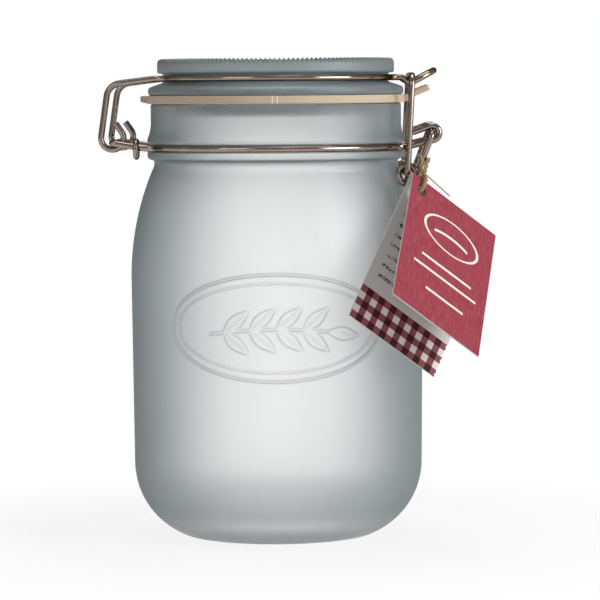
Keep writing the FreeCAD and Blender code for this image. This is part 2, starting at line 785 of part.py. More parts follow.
def make_link():
    """One wire: a bar over the nose, two legs, and a pin turned into each eye."""
    wire, half = mm("wire_radius"), link_half()
    pin = link_pin()
    bar = bar_seat()
    inner = lever_half() - wire - mm("pin_end")
    points = [
        pin - Vector(0, inner, 0),
        pin - Vector(0, half, 0),
        bar - Vector(0, half, 0),
        bar + Vector(0, half, 0),
        pin + Vector(0, half, 0),
        pin + Vector(0, inner, 0),
    ]
    corner = mm("link_corner")
    return add_feature("link", rod(bent(points, [mm("pin_bend"), corner, corner, mm("pin_bend")]), wire))


def make_collar():
    """Small wire ring that hangs on the near hinge strand."""
    collar = DOC.addObject("Part::Torus", "collar")
    collar.Label = "collar"
    collar.setExpression("Radius1", "Sizes.collar_radius")
    collar.setExpression("Radius2", "Sizes.collar_wire")
    ring = mm("neck_groove_radius") + mm("wire_radius") + mm("wire_fit")
    slack = mm("collar_radius") - mm("collar_wire") - mm("wire_radius") - 0.03
    centre = Vector(collar_across(), -bar_half(), hinge_strand_height(ring) - slack)
    axis = turned(Vector(1, 0, 0), mm("hinge_turn"))
    turn = FreeCAD.Rotation(Vector(0, 0, 1), axis)
    collar.Placement = FreeCAD.Placement(turned(centre, mm("hinge_turn")), turn)
    return collar


def collar_across():
    return hinge_bar().x + mm("collar_in")


def hinge_strand_height(ring):
    """Height of the hinge strands where the collar hangs, on the slope from the neck to the hinge bar."""
    bend = mm("ring_bend") * 0.8
    start = math.sqrt((ring + bend) ** 2 - (bar_half() + bend) ** 2) + 1.6
    share = (-collar_across() - start) / (-hinge_bar().x - start)
    return neck_height().value + share * mm("hinge_rise")


# ---------------------------------------------------------------- swing tag and twine
def tag_frame():
    """The hung tag's directions: along the fold, down between the leaves, and towards the back leaf."""
    turn, dip, swing = (math.radians(mm(name)) for name in ("fold_turn", "fold_dip", "leaf_swing"))
    level = Vector(math.cos(turn), math.sin(turn), 0)
    fold = level * math.cos(dip) - Vector(0, 0, math.sin(dip))
    plumb = -level * math.sin(dip) - Vector(0, 0, math.cos(dip))
    away = Vector(-math.sin(turn), math.cos(turn), 0)
    down = plumb * math.cos(swing) - away * math.sin(swing)
    return fold, down, plumb * math.sin(swing) + away * math.cos(swing)


def tag_corner():
    """The hung corner of the fold, in front of the latch."""
    forward = max(link_half() + mm("tag_clear"), mm("body_radius") - mm("tag_set_in"))
    return link_pin() + Vector(mm("tag_out"), -forward, -mm("tag_drop"))


def tag_placement():
    fold, down, behind = tag_frame()
    matrix = FreeCAD.Matrix(
        fold.x, down.x, behind.x, tag_corner().x,
        fold.y, down.y, behind.y, tag_corner().y,
        fold.z, down.z, behind.z, tag_corner().z,
    )
    return FreeCAD.Placement(matrix)


def make_swing_tag():
    """One card folded in two: the fold runs along the body's X, the leaves hang down its Y."""
    body = new_body("swing_tag")
    half_angle = "Sizes.card_angle / 2"
    angle = math.radians(mm("card_angle") / 2)
    sine, cosine = Size(f"sin({half_angle})", math.sin(angle)), Size(f"cos({half_angle})", math.cos(angle))
    thick, length = size("card_thickness"), size("card_length")
    outer, inner = thick * 2, thick
    run, rise = cosine * length, sine * length
    steps = [
        (run - sine * outer, rise + cosine * outer),
        (-(sine * outer), cosine * outer),
        (-(sine * outer), -(cosine * outer), ZERO, ZERO, outer, 1),
        (run - sine * outer, -(rise + cosine * outer)),
        (run - sine * inner, -(rise + cosine * inner)),
        (-(sine * inner), -(cosine * inner)),
        (-(sine * inner), cosine * inner, ZERO, ZERO, inner, -1),
        (run - sine * inner, rise + cosine * inner),
    ]
    sketch = new_sketch(body, "swing_tag_section", "YZ_Plane")
    draw_outline(sketch, steps)
    card = body.newObject("PartDesign::Pad", "swing_tag_card")
    card.Profile = sketch
    card.setExpression("Length", "Sizes.card_width")
    DOC.recompute()
    hole = new_sketch(body, "swing_tag_hole", "XY_Plane")
    centre = Vector(mm("hole_in"), mm("hole_in"), 0)
    hole.addGeometry(Part.Circle(centre, Vector(0, 0, 1), mm("hole_radius")))
    pin_point(hole, 0, 3, size("hole_in"), size("hole_in"))
    at = hole.addConstraint(Sketcher.Constraint("Radius", 0, mm("hole_radius")))
    hole.setExpression(f"Constraints[{at}]", "Sizes.hole_radius")
    punch = body.newObject("PartDesign::Pocket", "swing_tag_punch")
    punch.Profile = hole
    punch.Type = 1
    punch.Midplane = True
    body.Placement = tag_placement()
    return body


def make_twine():
    """Jute: a loop round the lever's near arm, a knot, and a loop over the fold and through the hole."""
    fold, down, behind = tag_frame()
    twine = mm("twine_radius")
    hole = tag_corner() + (fold + down) * mm("hole_in")
    spread = mm("card_thickness") * 2 + mm("hole_in") * math.tan(math.radians(mm("card_angle") / 2))
    side = behind * (spread + twine + mm("twine_play"))
    radius = side.Length
    knot = hole - down * (mm("hole_in") + mm("card_thickness") * 2 + mm("knot_radius") + mm("twine_play"))
    low, high = hole - down * radius, knot + down * radius
    edges = [
        line_edge(high - side, low - side),
        arc_edge(low - side, hole, low + side),
        line_edge(low + side, high + side),
        arc_edge(high + side, high - down * radius, high - side),
    ]
    pivot, pin = lever_pivot(), link_pin()
    arm = (touch_point(pin, eye_curve(), pivot) - pivot).normalize()
    above_eye = eye_curve() + mm("wire_radius") + mm("twine_radius") * 2
    reach = (pivot.z - pin.z - above_eye) / -arm.z
    held = pivot + arm * reach - Vector(0, lever_half(), 0)
    loop = mm("wire_radius") + twine + mm("twine_play")
    ring = Part.makeTorus(loop, twine, held, arm)
    away = knot - held
    away = (away - arm * away.dot(arm)).normalize()
    strand = rod([line_edge(knot, held + away * loop)], twine)
    pieces = [Part.makeSphere(mm("knot_radius"), knot), ring, strand]
    return add_feature("twine", rod(edges, twine).multiFuse(pieces).Solids[0])


# ---------------------------------------------------------------- build, check and write
MAKERS = [
    make_jar,
    make_lid,
    make_gasket,
    make_lid_bail,
    make_neck_wire,
    make_collar,
    make_lever,
    make_link,
    make_swing_tag,
    make_twine,
]


def main():
    parts = [make() for make in MAKERS]
    DOC.recompute()
    for thing in DOC.Objects:
        bad = [state for state in thing.State if state in ("Invalid", "Error")]
        if bad:
            raise RuntimeError(f"{thing.Label} is {bad}")
    os.makedirs("parts", exist_ok=True)
    for part in parts:
        shape = part.Shape
        if shape.isNull() or not shape.isValid() or len(shape.Solids) != 1:
            raise RuntimeError(f"{part.Label} is not one valid solid")
        shape.exportStep(f"parts/{part.Label}.step")
        print(f"{part.Label}: {shape.Volume:.1f} mm3, {shape.BoundBox}")


main()
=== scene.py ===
"""Looks of a clip-top preserving jar: frosted glass, rubber, sprung wire, a printed swing tag and jute twine."""

import logging
import math
from collections.abc import Callable, Sequence
from dataclasses import dataclass
from enum import Enum

import bpy
import numpy as np
from mathutils import Matrix, Vector

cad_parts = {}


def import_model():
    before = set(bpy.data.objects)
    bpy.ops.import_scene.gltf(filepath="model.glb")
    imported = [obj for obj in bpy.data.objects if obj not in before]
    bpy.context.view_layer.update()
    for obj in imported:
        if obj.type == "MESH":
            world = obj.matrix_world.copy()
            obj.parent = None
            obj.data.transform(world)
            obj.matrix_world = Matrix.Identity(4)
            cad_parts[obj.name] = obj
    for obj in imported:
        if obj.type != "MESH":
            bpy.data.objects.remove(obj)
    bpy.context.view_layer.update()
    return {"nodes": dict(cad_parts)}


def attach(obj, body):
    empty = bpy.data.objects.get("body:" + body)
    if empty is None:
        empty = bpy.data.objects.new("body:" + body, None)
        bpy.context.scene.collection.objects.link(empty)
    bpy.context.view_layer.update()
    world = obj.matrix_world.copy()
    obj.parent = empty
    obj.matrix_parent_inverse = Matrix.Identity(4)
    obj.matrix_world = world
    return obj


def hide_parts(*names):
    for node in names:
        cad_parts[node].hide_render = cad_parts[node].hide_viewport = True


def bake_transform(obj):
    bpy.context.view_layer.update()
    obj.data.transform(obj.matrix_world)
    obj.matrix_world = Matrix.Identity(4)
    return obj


log = logging.getLogger("clip_top_jar")

MM = 0.001
# Faces that meet at more than this keep a crisp edge.
SHARP = math.radians(40)
# Corners of a section that turn by less than this are left as they are.
STRAIGHT = math.radians(12)
# A rounding takes at most this share of the edges beside it.
ROUNDED = 0.45
Colour = tuple[float, float, float]
Profile = list[tuple[float, float]]


# ---------------------------------------------------------------- shader maths
class Term:
    """One shader socket that can be used in a Python expression."""

    def __init__(self, bench: "Bench", socket: bpy.types.NodeSocket) -> None:
        """Wraps the socket of a node on the bench."""
        self.bench = bench
        self.socket = socket

    def maths(self, operation: str, *others: "Term | float") -> "Term":
        """Adds a Math node.

        Args:
            operation: the Math node's operation.
            others: its second and third values.

        Returns:
            The node's result.
        """
        values = dict(enumerate((self, *others)))
        return self.bench.node("ShaderNodeMath", {"operation": operation}, values)

    def __add__(self, other: "Term | float") -> "Term":
        """self + other."""
        return self.maths("ADD", other)

    __radd__ = __add__

    def __sub__(self, other: "Term | float") -> "Term":
        """self - other."""
        return self.maths("SUBTRACT", other)

    def __rsub__(self, other: float) -> "Term":
        """other - self."""
        return self.maths("MULTIPLY_ADD", -1.0, other)

    def __mul__(self, other: "Term | float") -> "Term":
        """self * other."""
        return self.maths("MULTIPLY", other)

    __rmul__ = __mul__

    def __truediv__(self, other: "Term | float") -> "Term":
        """self / other."""
        return self.maths("DIVIDE", other)

    def __pow__(self, other: float) -> "Term":
        """self to the power of other."""
        return self.maths("POWER", other)

    def __abs__(self) -> "Term":
        """The size of self without its sign."""
        return self.maths("ABSOLUTE")

    def above(self, limit: "Term | float") -> "Term":
        """1 where self is over the limit, else 0."""
        return self.maths("GREATER_THAN", limit)

    def below(self, limit: "Term | float") -> "Term":
        """1 where self is under the limit, else 0."""
        return self.maths("LESS_THAN", limit)

    def within(self, low: float, high: float) -> "Term":
        """1 between two limits, else 0."""
        return self.above(low) * self.below(high)

    def parity(self, period: float) -> "Term":
        """0 and 1 in turn, each for half a period."""
        return (self / period).maths("FRACT").above(0.5)

    def either(self, other: "Term") -> "Term":
        """The larger of two masks."""
        return self.maths("MAXIMUM", other)

    def limited(self) -> "Term":
        """self kept between 0 and 1."""
        return self.maths("MAXIMUM", 0.0).maths("MINIMUM", 1.0)


class Bench:
    """Builds the nodes of one material or of the world."""

    def __init__(self, tree: bpy.types.NodeTree, is_material: bool = True) -> None:
        """Takes an empty node tree."""
        self.tree = tree
        self.is_material = is_material

    @classmethod
    def material(cls, name: str) -> tuple["Bench", bpy.types.Material]:
        """Starts a material.

        Args:
            name: the material's name.

        Returns:
            A bench for its nodes, and the material.
        """
        made = bpy.data.materials.new(name)
        made.use_nodes = True
        made.node_tree.nodes.clear()
        return cls(made.node_tree), made

    def node(
        self,
        kind: str,
        settings: dict | None = None,
        inputs: dict | None = None,
        output: int | str = 0,
    ) -> Term:
        """Adds one node.

        Args:
            kind: the node's type.
            settings: its own settings, with a ramp's stops under "stops".
            inputs: values or links by socket name or number.
            output: the output that is wanted.

        Returns:
            That output.
        """
        made = self.tree.nodes.new(kind)
        for name, setting in (settings or {}).items():
            if name == "stops":
                self._set_stops(made.color_ramp, setting)
            else:
                setattr(made, name, setting)
        for key, given in (inputs or {}).items():
            socket = made.inputs[key]
            if isinstance(given, Term):
                self.tree.links.new(given.socket, socket)
            elif socket.type == "RGBA" and len(given) == 3:
                socket.default_value = (*given, 1.0)
            else:
                socket.default_value = given
        return Term(self, made.outputs[output])

    @staticmethod
    def _set_stops(ramp: bpy.types.ColorRamp, stops: Sequence[tuple[float, Colour]]) -> None:
        """Puts the stops on a colour ramp."""
        while len(ramp.elements) < len(stops):
            ramp.elements.new(0.5)
        for element, (place, colour) in zip(ramp.elements, stops):
            element.position = place
            element.color = (*colour, 1.0)

    def place(self) -> Term:
        """Object coordinates in metres."""
        return self.node("ShaderNodeTexCoord", output="Object")

    def axis(self, vector: Term, name: str) -> Term:
        """One axis, X, Y or Z, of a vector."""
        return self.node("ShaderNodeSeparateXYZ", inputs={0: vector}, output=name)

    def noise(self, scale: float, detail: float = 3.0, stretch: Vector | None = None) -> Term:
        """Noise on the object.

        Args:
            scale: cells in a metre.
            detail: octaves.
            stretch: scale of each axis, where they differ.

        Returns:
            The noise's factor.
        """
        at = self.place()
        if stretch is not None:
            at = self.node("ShaderNodeMapping", inputs={"Vector": at, "Scale": stretch})
        values = {"Vector": at, "Scale": scale, "Detail": detail}
        return self.node("ShaderNodeTexNoise", inputs=values)

    def blend(self, mask: "Term | float", first: "Term | Colour", second: "Term | Colour") -> Term:
        """Mixes two colours.

        Args:
            mask: 0 for the first colour and 1 for the second.
            first: a colour or a link.
            second: a colour or a link.

        Returns:
            The mixed colour.
        """
        pair = [c if isinstance(c, Term) else (*c, 1.0) for c in (first, second)]
        values = {0: mask, 6: pair[0], 7: pair[1]}
        return self.node("ShaderNodeMix", {"data_type": "RGBA"}, values, output=2)

    def bump(self, height: Term, depth: float, strength: float = 1.0) -> Term:
        """A normal from a height.

        Args:
            height: the height, 0 to 1.
            depth: metres from 0 to 1.
            strength: share of the bump that shows.

        Returns:
            The normal.
        """
        values = {"Height": height, "Distance": depth, "Strength": strength}
        return self.node("ShaderNodeBump", inputs=values)

    def principled(self, **sockets: "Term | float | Colour") -> Term:
        """A Principled surface, with sockets named in snake case."""
        inputs = {}
        for name, given in sockets.items():
            inputs[name.replace("_", " ").title().replace("Ior", "IOR")] = given
        return self.node("ShaderNodeBsdfPrincipled", inputs=inputs)

    def finish(self, surface: Term) -> None:
        """Links the surface to the tree's output."""
        kind = "ShaderNodeOutputMaterial" if self.is_material else "ShaderNodeOutputWorld"
        end = self.tree.nodes.new(kind)
        self.tree.links.new(surface.socket, end.inputs["Surface"])


# ---------------------------------------------------------------- finishes
@dataclass(frozen=True)
class MouldedGlass:
    """Glass as it comes from the mould, or etched to a frost. Lengths are in metres.

    Attributes:
        name: the material's name.
        tint: colour where it is seen square on.
        painted_rim_shade: painted shade, a darker colour mixed in where the glass turns away from the view.
        roughness: middle of the frost's roughness.
        rim_power: how closely the painted rim shade keeps to the rim.
        rim_gain: how early the painted rim shade is full.
        rim_clear: share of light that the painted rim shade lets through.
        orange_peel: depth of the surface's ripple.
        frost_cells: grains of frost in a metre.
        frost_spread: roughness from the smoothest to the roughest grain.
        wave_cells: ripples in a metre.
        bend: index of refraction.
        rim_shade_fade_height: height below which the painted rim shade fades, or 0.
        foot_share: share of the painted rim shade that is left at the foot.
        haze: share of milky etching over the glass.
        haze_tint: the etching's colour.
        haze_roughness: the etching's roughness.
    """

    name: str
    tint: Colour
    painted_rim_shade: Colour
    roughness: float
    rim_power: float = 1.4
    rim_gain: float = 1.25
    rim_clear: float = 0.55
    orange_peel: float = 0.00004
    frost_cells: float = 2600.0
    frost_spread: float = 0.16
    wave_cells: float = 70.0
    bend: float = 1.5
    rim_shade_fade_height: float = 0.0
    foot_share: float = 0.35
    haze: float = 0.0
    haze_tint: Colour = (0.62, 0.68, 0.70)
    haze_roughness: float = 0.6

    def material(self) -> bpy.types.Material:
        """Clear where it is seen square on, with a painted shade, darker and less clear, where it turns away."""
        bench, made = Bench.material(self.name)
        frost = bench.noise(self.frost_cells, 4.0)
        waves = bench.noise(self.wave_cells, 2.0)
        normal = bench.bump(frost * 0.35 + waves, self.orange_peel)
        rough = frost * self.frost_spread + (self.roughness - self.frost_spread / 2)
        colour = bench.blend(waves, self.tint, tuple(c * 0.97 for c in self.tint))
        facing = bench.node("ShaderNodeLayerWeight", inputs={"Blend": 0.5}, output="Facing")
        # deep is the painted rim shade: a darker, partly opaque glass.
        clear, deep = (
            bench.principled(
                base_color=shown,
                roughness=rough,
                ior=self.bend,
                transmission_weight=through,
                normal=normal,
            )
            for shown, through in ((colour, 1.0), (self.painted_rim_shade, self.rim_clear))
        )
        # Painted shade: the darker glass is mixed in by how far the surface turns away from the view, and it fades
        # out towards the foot.
        share = ((facing * self.rim_gain) ** self.rim_power).limited()
        if self.rim_shade_fade_height:
            height = bench.axis(bench.place(), "Z") / self.rim_shade_fade_height
            share = share * (height.limited() * (1 - self.foot_share) + self.foot_share)
        surface = bench.node("ShaderNodeMixShader", inputs={0: share, 1: clear, 2: deep})
        if self.haze:
            frosting = bench.principled(
                base_color=self.haze_tint,
                roughness=self.haze_roughness,
                normal=normal,
            )
            surface = bench.node("ShaderNodeMixShader", inputs={0: self.haze, 1: surface, 2: frosting})
        bench.finish(surface)
        return made


@dataclass(frozen=True)
class MouldedRubber:
    """Matt food-grade rubber, with the mould's seam as two pale lines at the front. Lengths are in metres.

    Attributes:
        name: the material's name.
        colour: the rubber's lighter colour.
        shade: its darker colour.
        seam: the lines' colour.
        seam_lines: the near and the far edge of each line, from the middle of the front.
        bloom_cells: clouds of bloom in a metre.
        grain_cells: grains of the mould in a metre.
    """

    name: str = "cream_rubber"
    colour: Colour = (0.66, 0.52, 0.385)
    shade: Colour = (0.56, 0.435, 0.315)
    seam: Colour = (0.86, 0.76, 0.64)
    seam_lines: tuple[float, float] = (0.0006, 0.0011)
    bloom_cells: float = 160.0
    grain_cells: float = 2400.0

    def material(self) -> bpy.types.Material:
        """Slightly mottled, with a fine mould grain and bloom."""
        bench, made = Bench.material(self.name)
        cloud = bench.noise(self.bloom_cells, 4.0)
        grain = bench.noise(self.grain_cells, 2.0)
        place = bench.place()
        across, deep = bench.axis(place, "X"), bench.axis(place, "Y")
        seam = abs(across).within(*self.seam_lines) * deep.below(0.0)
        rubber = bench.blend(cloud, self.colour, self.shade)
        surface = bench.principled(
            base_color=bench.blend(seam, rubber, self.seam),
            roughness=0.5 + cloud * 0.2,
            specular_ior_level=0.35,
            subsurface_weight=0.15,
            subsurface_radius=(0.002, 0.001, 0.0006),
            normal=bench.bump(grain, 0.00005, 0.6),
        )
        bench.finish(surface)
        return made


@dataclass(frozen=True)
class DrawnWire:
    """Spring steel wire, drawn and lightly tarnished.

    Attributes:
        name: the material's name.
        bright: colour of the clean metal.
        tarnish: colour of the dull patches.
        painted_edge_shade: painted shade, a dark tint on what the wire mirrors at a glancing angle, which darkens
            its edges.
        patch_cells: patches of tarnish in a metre.
        streak_cells: drawn streaks in a metre.
    """

    name: str = "spring_wire"
    bright: Colour = (0.50, 0.415, 0.355)
    tarnish: Colour = (0.16, 0.12, 0.097)
    painted_edge_shade: Colour = (0.20, 0.145, 0.12)
    patch_cells: float = 120.0
    streak_cells: float = 900.0

    def material(self) -> bpy.types.Material:
        """Bronze-grey metal with drawn streaks, duller patches and a painted shade on what it mirrors near its
        edges.
        """
        bench, made = Bench.material(self.name)
        patches = bench.noise(self.patch_cells, 4.0)
        streaks = bench.noise(self.streak_cells, 3.0, Vector((1.0, 1.0, 0.25)))
        mixed = (patches * 0.7 + streaks * 0.5 - 0.1).limited()
        surface = bench.principled(
            base_color=bench.blend(mixed, self.bright, self.tarnish),
            metallic=1.0,
            # Painted shade: a dark specular tint darkens what the wire mirrors near its edges.
            specular_tint=self.painted_edge_shade,
            roughness=0.07 + mixed * 0.12,
            normal=bench.bump(streaks, 0.00001, 0.3),
        )
        bench.finish(surface)
        return made


@dataclass(frozen=True)
class CardPrint:
    """Uncoated card, printed on both sides. Millimetres.

    The card's map runs 0 to 1 along the fold and down a leaf.

    Attributes:
        name: start of the three materials' names.
        width: the card's width along the fold.
        length: a leaf's length.
        ink: the cover.
        dark_ink: the squares where both stripes of the checks cross.
        soft_ink: the squares where one stripe shows.
        thread: the paler threads under the cover's ink.
        check_width: a square of the checks, along the fold.
        check_height: a square of the checks, down the leaf.
        check_rows: rows of squares in the strip.
        stock: the bare card.
        page: the card inside, under the small print.
        line_ink: the small print.
        ring_down: middle of the oval ring, from the fold.
        ring_size: the ring's half width and half height.
        rules: middle, half length and distance from the fold of each plain rule.
        rule_width: the rules' thickness.
        print_down: from the fold to the first line of small print.
        line_pitch: from one line of small print to the next.
    """

    name: str
    width: float
    length: float
    ink: Colour = (0.27, 0.026, 0.045)
    dark_ink: Colour = (0.060, 0.004, 0.010)
    soft_ink: Colour = (0.27, 0.075, 0.085)
    thread: Colour = (0.42, 0.095, 0.12)
    check_width: float = 2.76
    check_height: float = 2.7
    check_rows: int = 5
    stock: Colour = (0.80, 0.75, 0.70)
    page: Colour = (0.66, 0.63, 0.61)
    line_ink: Colour = (0.10, 0.06, 0.07)
    ring_down: float = 17.0
    ring_size: tuple[float, float] = (13.0, 7.6)
    rules: tuple[tuple[float, float, float], ...] = (
        (21.5, 12.0, 32.4),
        (21.5, 15.0, 37.6),
        (22.5, 9.0, 46.6),
    )
    rule_width: float = 1.1
    margin: float = 4.0
    print_down: float = 14.0
    line_pitch: float = 4.3

    def cover(self) -> bpy.types.Material:
        """The outside: ink over book cloth, with a leaf in an oval ring and three plain rules left bare."""
        bench, made = Bench.material(f"{self.name}_cover")
        u, v = self._across(bench), self._down(bench)
        across = (u - self.width * 0.52) / self.ring_size[0]
        down = (v - self.ring_down) / self.ring_size[1]
        ring = (across * across + down * down) ** 0.5
        mask = ring.within(0.94, 1.03)
        for middle, half, low in self.rules:
            mask = mask.either(u.within(middle - half, middle + half) * v.within(low, low + self.rule_width))
        leaf = abs(down * 0.9 - across * across * 0.4)
        mask = mask.either(leaf.below(0.07) * abs(across).below(0.62))
        weave = self._fibres(bench)
        ink = bench.blend(self._threads(bench), self.ink, self.thread)
        self._finish(bench, bench.blend(mask, ink, self.stock), weave)
        return made

    def page_side(self) -> bpy.types.Material:
        """The inside: lines of small print as plain broken strokes, over a strip of woven-look checks."""
        bench, made = Bench.material(f"{self.name}_page")
        u, v = self._across(bench), self._down(bench)
        top = self.length - self.check_rows * self.check_height
        rows = 1.0 - (v - top).parity(self.check_height * 2)
        columns = u.parity(self.check_width * 2)
        both, one = rows * columns, rows.either(columns)
        checks = bench.blend(one, self.stock, self.soft_ink)
        checks = bench.blend(both, checks, self.dark_ink)
        lines = ((v - 1.2) / self.line_pitch).maths("FRACT").below(0.3)
        lines = lines * v.within(self.print_down, top - self.margin)
        dashes = bench.noise(1500.0, 1.0).above(0.47)
        words = lines * dashes * u.within(self.margin, self.width - self.margin)
        paper = bench.blend(words, self.page, self.line_ink)
        weave = self._fibres(bench)
        colour = bench.blend(v.above(top), paper, checks)
        self._finish(bench, colour, weave)
        return made

    def cut_edge(self) -> bpy.types.Material:
        """The card's cut edge: bare fibres."""
        bench, made = Bench.material(f"{self.name}_edge")
        weave = self._fibres(bench)
        self._finish(bench, bench.blend(weave, self.stock, self.page), weave)
        return made

    def _across(self, bench: Bench) -> Term:
        """Millimetres along the fold."""
        return bench.axis(bench.node("ShaderNodeUVMap", {"uv_map": "card"}), "X") * self.width

    def _down(self, bench: Bench) -> Term:
        """Millimetres down a leaf from the fold."""
        return bench.axis(bench.node("ShaderNodeUVMap", {"uv_map": "card"}), "Y") * self.length

    def _threads(self, bench: Bench) -> Term:
        """Book cloth under the ink: thick and thin threads both ways, 0 to 1."""
        u, v = self._across(bench), self._down(bench)
        slubs = []
        for along, beside in ((u, v), (v, u)):
            place = bench.node("ShaderNodeCombineXYZ", inputs={0: along * 2.6, 1: beside * 0.16})
            values = {"Vector": place, "Scale": 1.0, "Detail": 2.0}
            slubs.append(bench.node("ShaderNodeTexNoise", inputs=values))
        return ((slubs[0] * 0.8 + slubs[1] * 0.5 - 0.52) * 2.2).limited()

    def _fibres(self, bench: Bench) -> Term:
        """Fine paper fibres, coarser one way than the other."""
        fine = bench.noise(1900.0, 3.0, Vector((1.0, 0.35, 1.0)))
        return (fine * 0.7 + bench.noise(420.0, 2.0) * 0.3).limited()

    def _finish(self, bench: Bench, colour: Term, weave: Term) -> None:
        """Closes a printed surface."""
        surface = bench.principled(
            base_color=colour,
            roughness=0.62 + weave * 0.25,
            specular_ior_level=0.3,
            normal=bench.bump(weave, 0.00006, 0.6),
        )
        bench.finish(surface)


@dataclass(frozen=True)
class TwistedJute:
    """Natural jute fibre.

    Attributes:
        name: the material's name.
        light: the palest fibres.
        dark: the darkest.
        fibre_cells: fibres in a metre.
        patch_cells: patches in a metre.
    """

    name: str = "jute"
    light: Colour = (0.46, 0.32, 0.18)
    dark: Colour = (0.20, 0.12, 0.055)
    fibre_cells: float = 3200.0
    patch_cells: float = 500.0

    def material(self) -> bpy.types.Material:
        """Straw colour that varies from fibre to fibre, and no gloss."""
        bench, made = Bench.material(self.name)
        fibre = bench.noise(self.fibre_cells, 3.0, Vector((1.0, 1.0, 0.4)))
        patch = bench.noise(self.patch_cells, 2.0)
        mixed = (fibre * 0.8 + patch * 0.5 - 0.15).limited()
        surface = bench.principled(
            base_color=bench.blend(mixed, self.light, self.dark),
            roughness=0.8 + fibre * 0.15,
            sheen_weight=0.3,
            normal=bench.bump(fibre, 0.00012, 0.8),
        )
        bench.finish(surface)
        return made


# ---------------------------------------------------------------- mesh tools
def new_object(name: str, mesh: bpy.types.Mesh) -> bpy.types.Object:
    """Links a mesh to the scene under its own name."""
    made = bpy.data.objects.new(name, mesh)
    bpy.context.scene.collection.objects.link(made)
    return made


def arc(centre: tuple[float, float], radius: float, start: float, end: float, steps: int) -> Profile:
    """Points along an arc of a section, in degrees, both ends included."""
    angles = np.radians(np.linspace(start, end, steps + 1))
    return [(centre[0] + radius * math.cos(a), centre[1] + radius * math.sin(a)) for a in angles]


def softened(points: Profile, radius: float, steps: int = 4) -> Profile:
    """Rounds every corner of a section that isn't nearly straight.

    Args:
        points: the section's corners.
        radius: how far from a corner the rounding starts, at most.
        steps: points on each rounding.

    Returns:
        The rounded section.
    """
    line = [np.array(p, float) for p in points]
    out = [tuple(line[0])]
    for before, here, after in zip(line, line[1:], line[2:]):
        back, on = before - here, after - here
        lengths = np.linalg.norm(back), np.linalg.norm(on)
        cosine = float(back @ on) / (lengths[0] * lengths[1])
        if cosine < -math.cos(STRAIGHT):
            out.append(tuple(here))
            continue
        cut = min(radius, ROUNDED * lengths[0], ROUNDED * lengths[1])
        start, end = here + back / lengths[0] * cut, here + on / lengths[1] * cut
        for share in np.linspace(0, 1, steps + 1):
            bend = (1 - share) ** 2 * start + 2 * share * (1 - share) * here + share**2 * end
            out.append(tuple(bend))
    return out + [tuple(line[-1])]


def lathe(
    name: str,
    section: Profile,
    angles: np.ndarray,
    relief: Callable[[np.ndarray, np.ndarray], np.ndarray] | None = None,
    relief_rows: range = range(0),
    is_ring: bool = False,
) -> bpy.types.Mesh:
    """Turns a section, given in millimetres, into a closed mesh.

    Args:
        name: the mesh's name.
        section: (radius, height) from the lower pole round to the upper one.
        angles: the angle of each column, rising through one turn.
        relief: height of a pattern over the surface, from millimetres round the front and up.
        relief_rows: the rows of the section that carry it.
        is_ring: the section is a loop that ends where it starts, clear of the axis.

    Returns:
        The mesh, in metres.
    """
    inner = np.array(section[:-1] if is_ring else section[1:-1], float)
    count = len(angles)
    radius = np.repeat(inner[:, :1], count, axis=1)
    height = np.repeat(inner[:, 1:], count, axis=1)
    if relief is not None:
        rows = list(relief_rows)
        round_front = (angles + math.pi / 2) * radius[rows]
        radius[rows] += relief(round_front, height[rows])
    points = np.stack([radius * np.cos(angles), radius * np.sin(angles), height], axis=-1)
    vertices = points.reshape(-1, 3)
    faces = []
    after = [(j + 1) % count for j in range(count)]
    last = (len(inner) - 1) * count
    if not is_ring:
        vertices = np.concatenate([vertices, [[0, 0, section[0][1]], [0, 0, section[-1][1]]]])
        low_pole, high_pole = len(vertices) - 2, len(vertices) - 1
        faces += [(low_pole, after[j], j) for j in range(count)]
    for i in range(len(inner) if is_ring else len(inner) - 1):
        a, b = i * count, (i + 1) % len(inner) * count
        faces += [(a + j, a + after[j], b + after[j], b + j) for j in range(count)]
    if not is_ring:
        faces += [(high_pole, last + j, last + after[j]) for j in range(count)]
    mesh = bpy.data.meshes.new(name)
    mesh.from_pydata((vertices * MM).tolist(), [], faces)
    mesh.shade_smooth()
    return mesh


def prism(name: str, places: Sequence[Vector]) -> bpy.types.Object:
    """A closed solid between two outlines.

    Args:
        name: the solid's name.
        places: one outline and then the other, point for point, in metres.

    Returns:
        The solid.
    """
    count = len(places) // 2
    faces = [[k, (k + 1) % count, count + (k + 1) % count, count + k] for k in range(count)]
    faces += [list(range(count))[::-1], list(range(count, 2 * count))]
    mesh = bpy.data.meshes.new(name)
    mesh.from_pydata(places, [], faces)
    return new_object(name, mesh)


def tube_curve(name: str, path: Sequence[Vector]) -> bpy.types.Object:
    """A poly curve through the points of a path, for a node tree to dress."""
    curve = bpy.data.curves.new(name, "CURVE")
    curve.dimensions = "3D"
    spline = curve.splines.new("POLY")
    spline.points.add(len(path) - 1)
    for point, at in zip(spline.points, path):
        point.co = (*at, 1.0)
    made = bpy.data.objects.new(name, curve)
    bpy.context.scene.collection.objects.link(made)
    return made


def settled(piece: bpy.types.Object, name: str) -> bpy.types.Object:
    """The piece as its modifiers leave it, as a plain mesh under a new name."""
    graph = bpy.context.evaluated_depsgraph_get()
    mesh = bpy.data.meshes.new_from_object(piece.evaluated_get(graph), depsgraph=graph)
    mesh.name = name
    bpy.data.objects.remove(piece)
    mesh.shade_smooth()
    mesh.set_sharp_from_angle(angle=SHARP)
    return new_object(name, mesh)


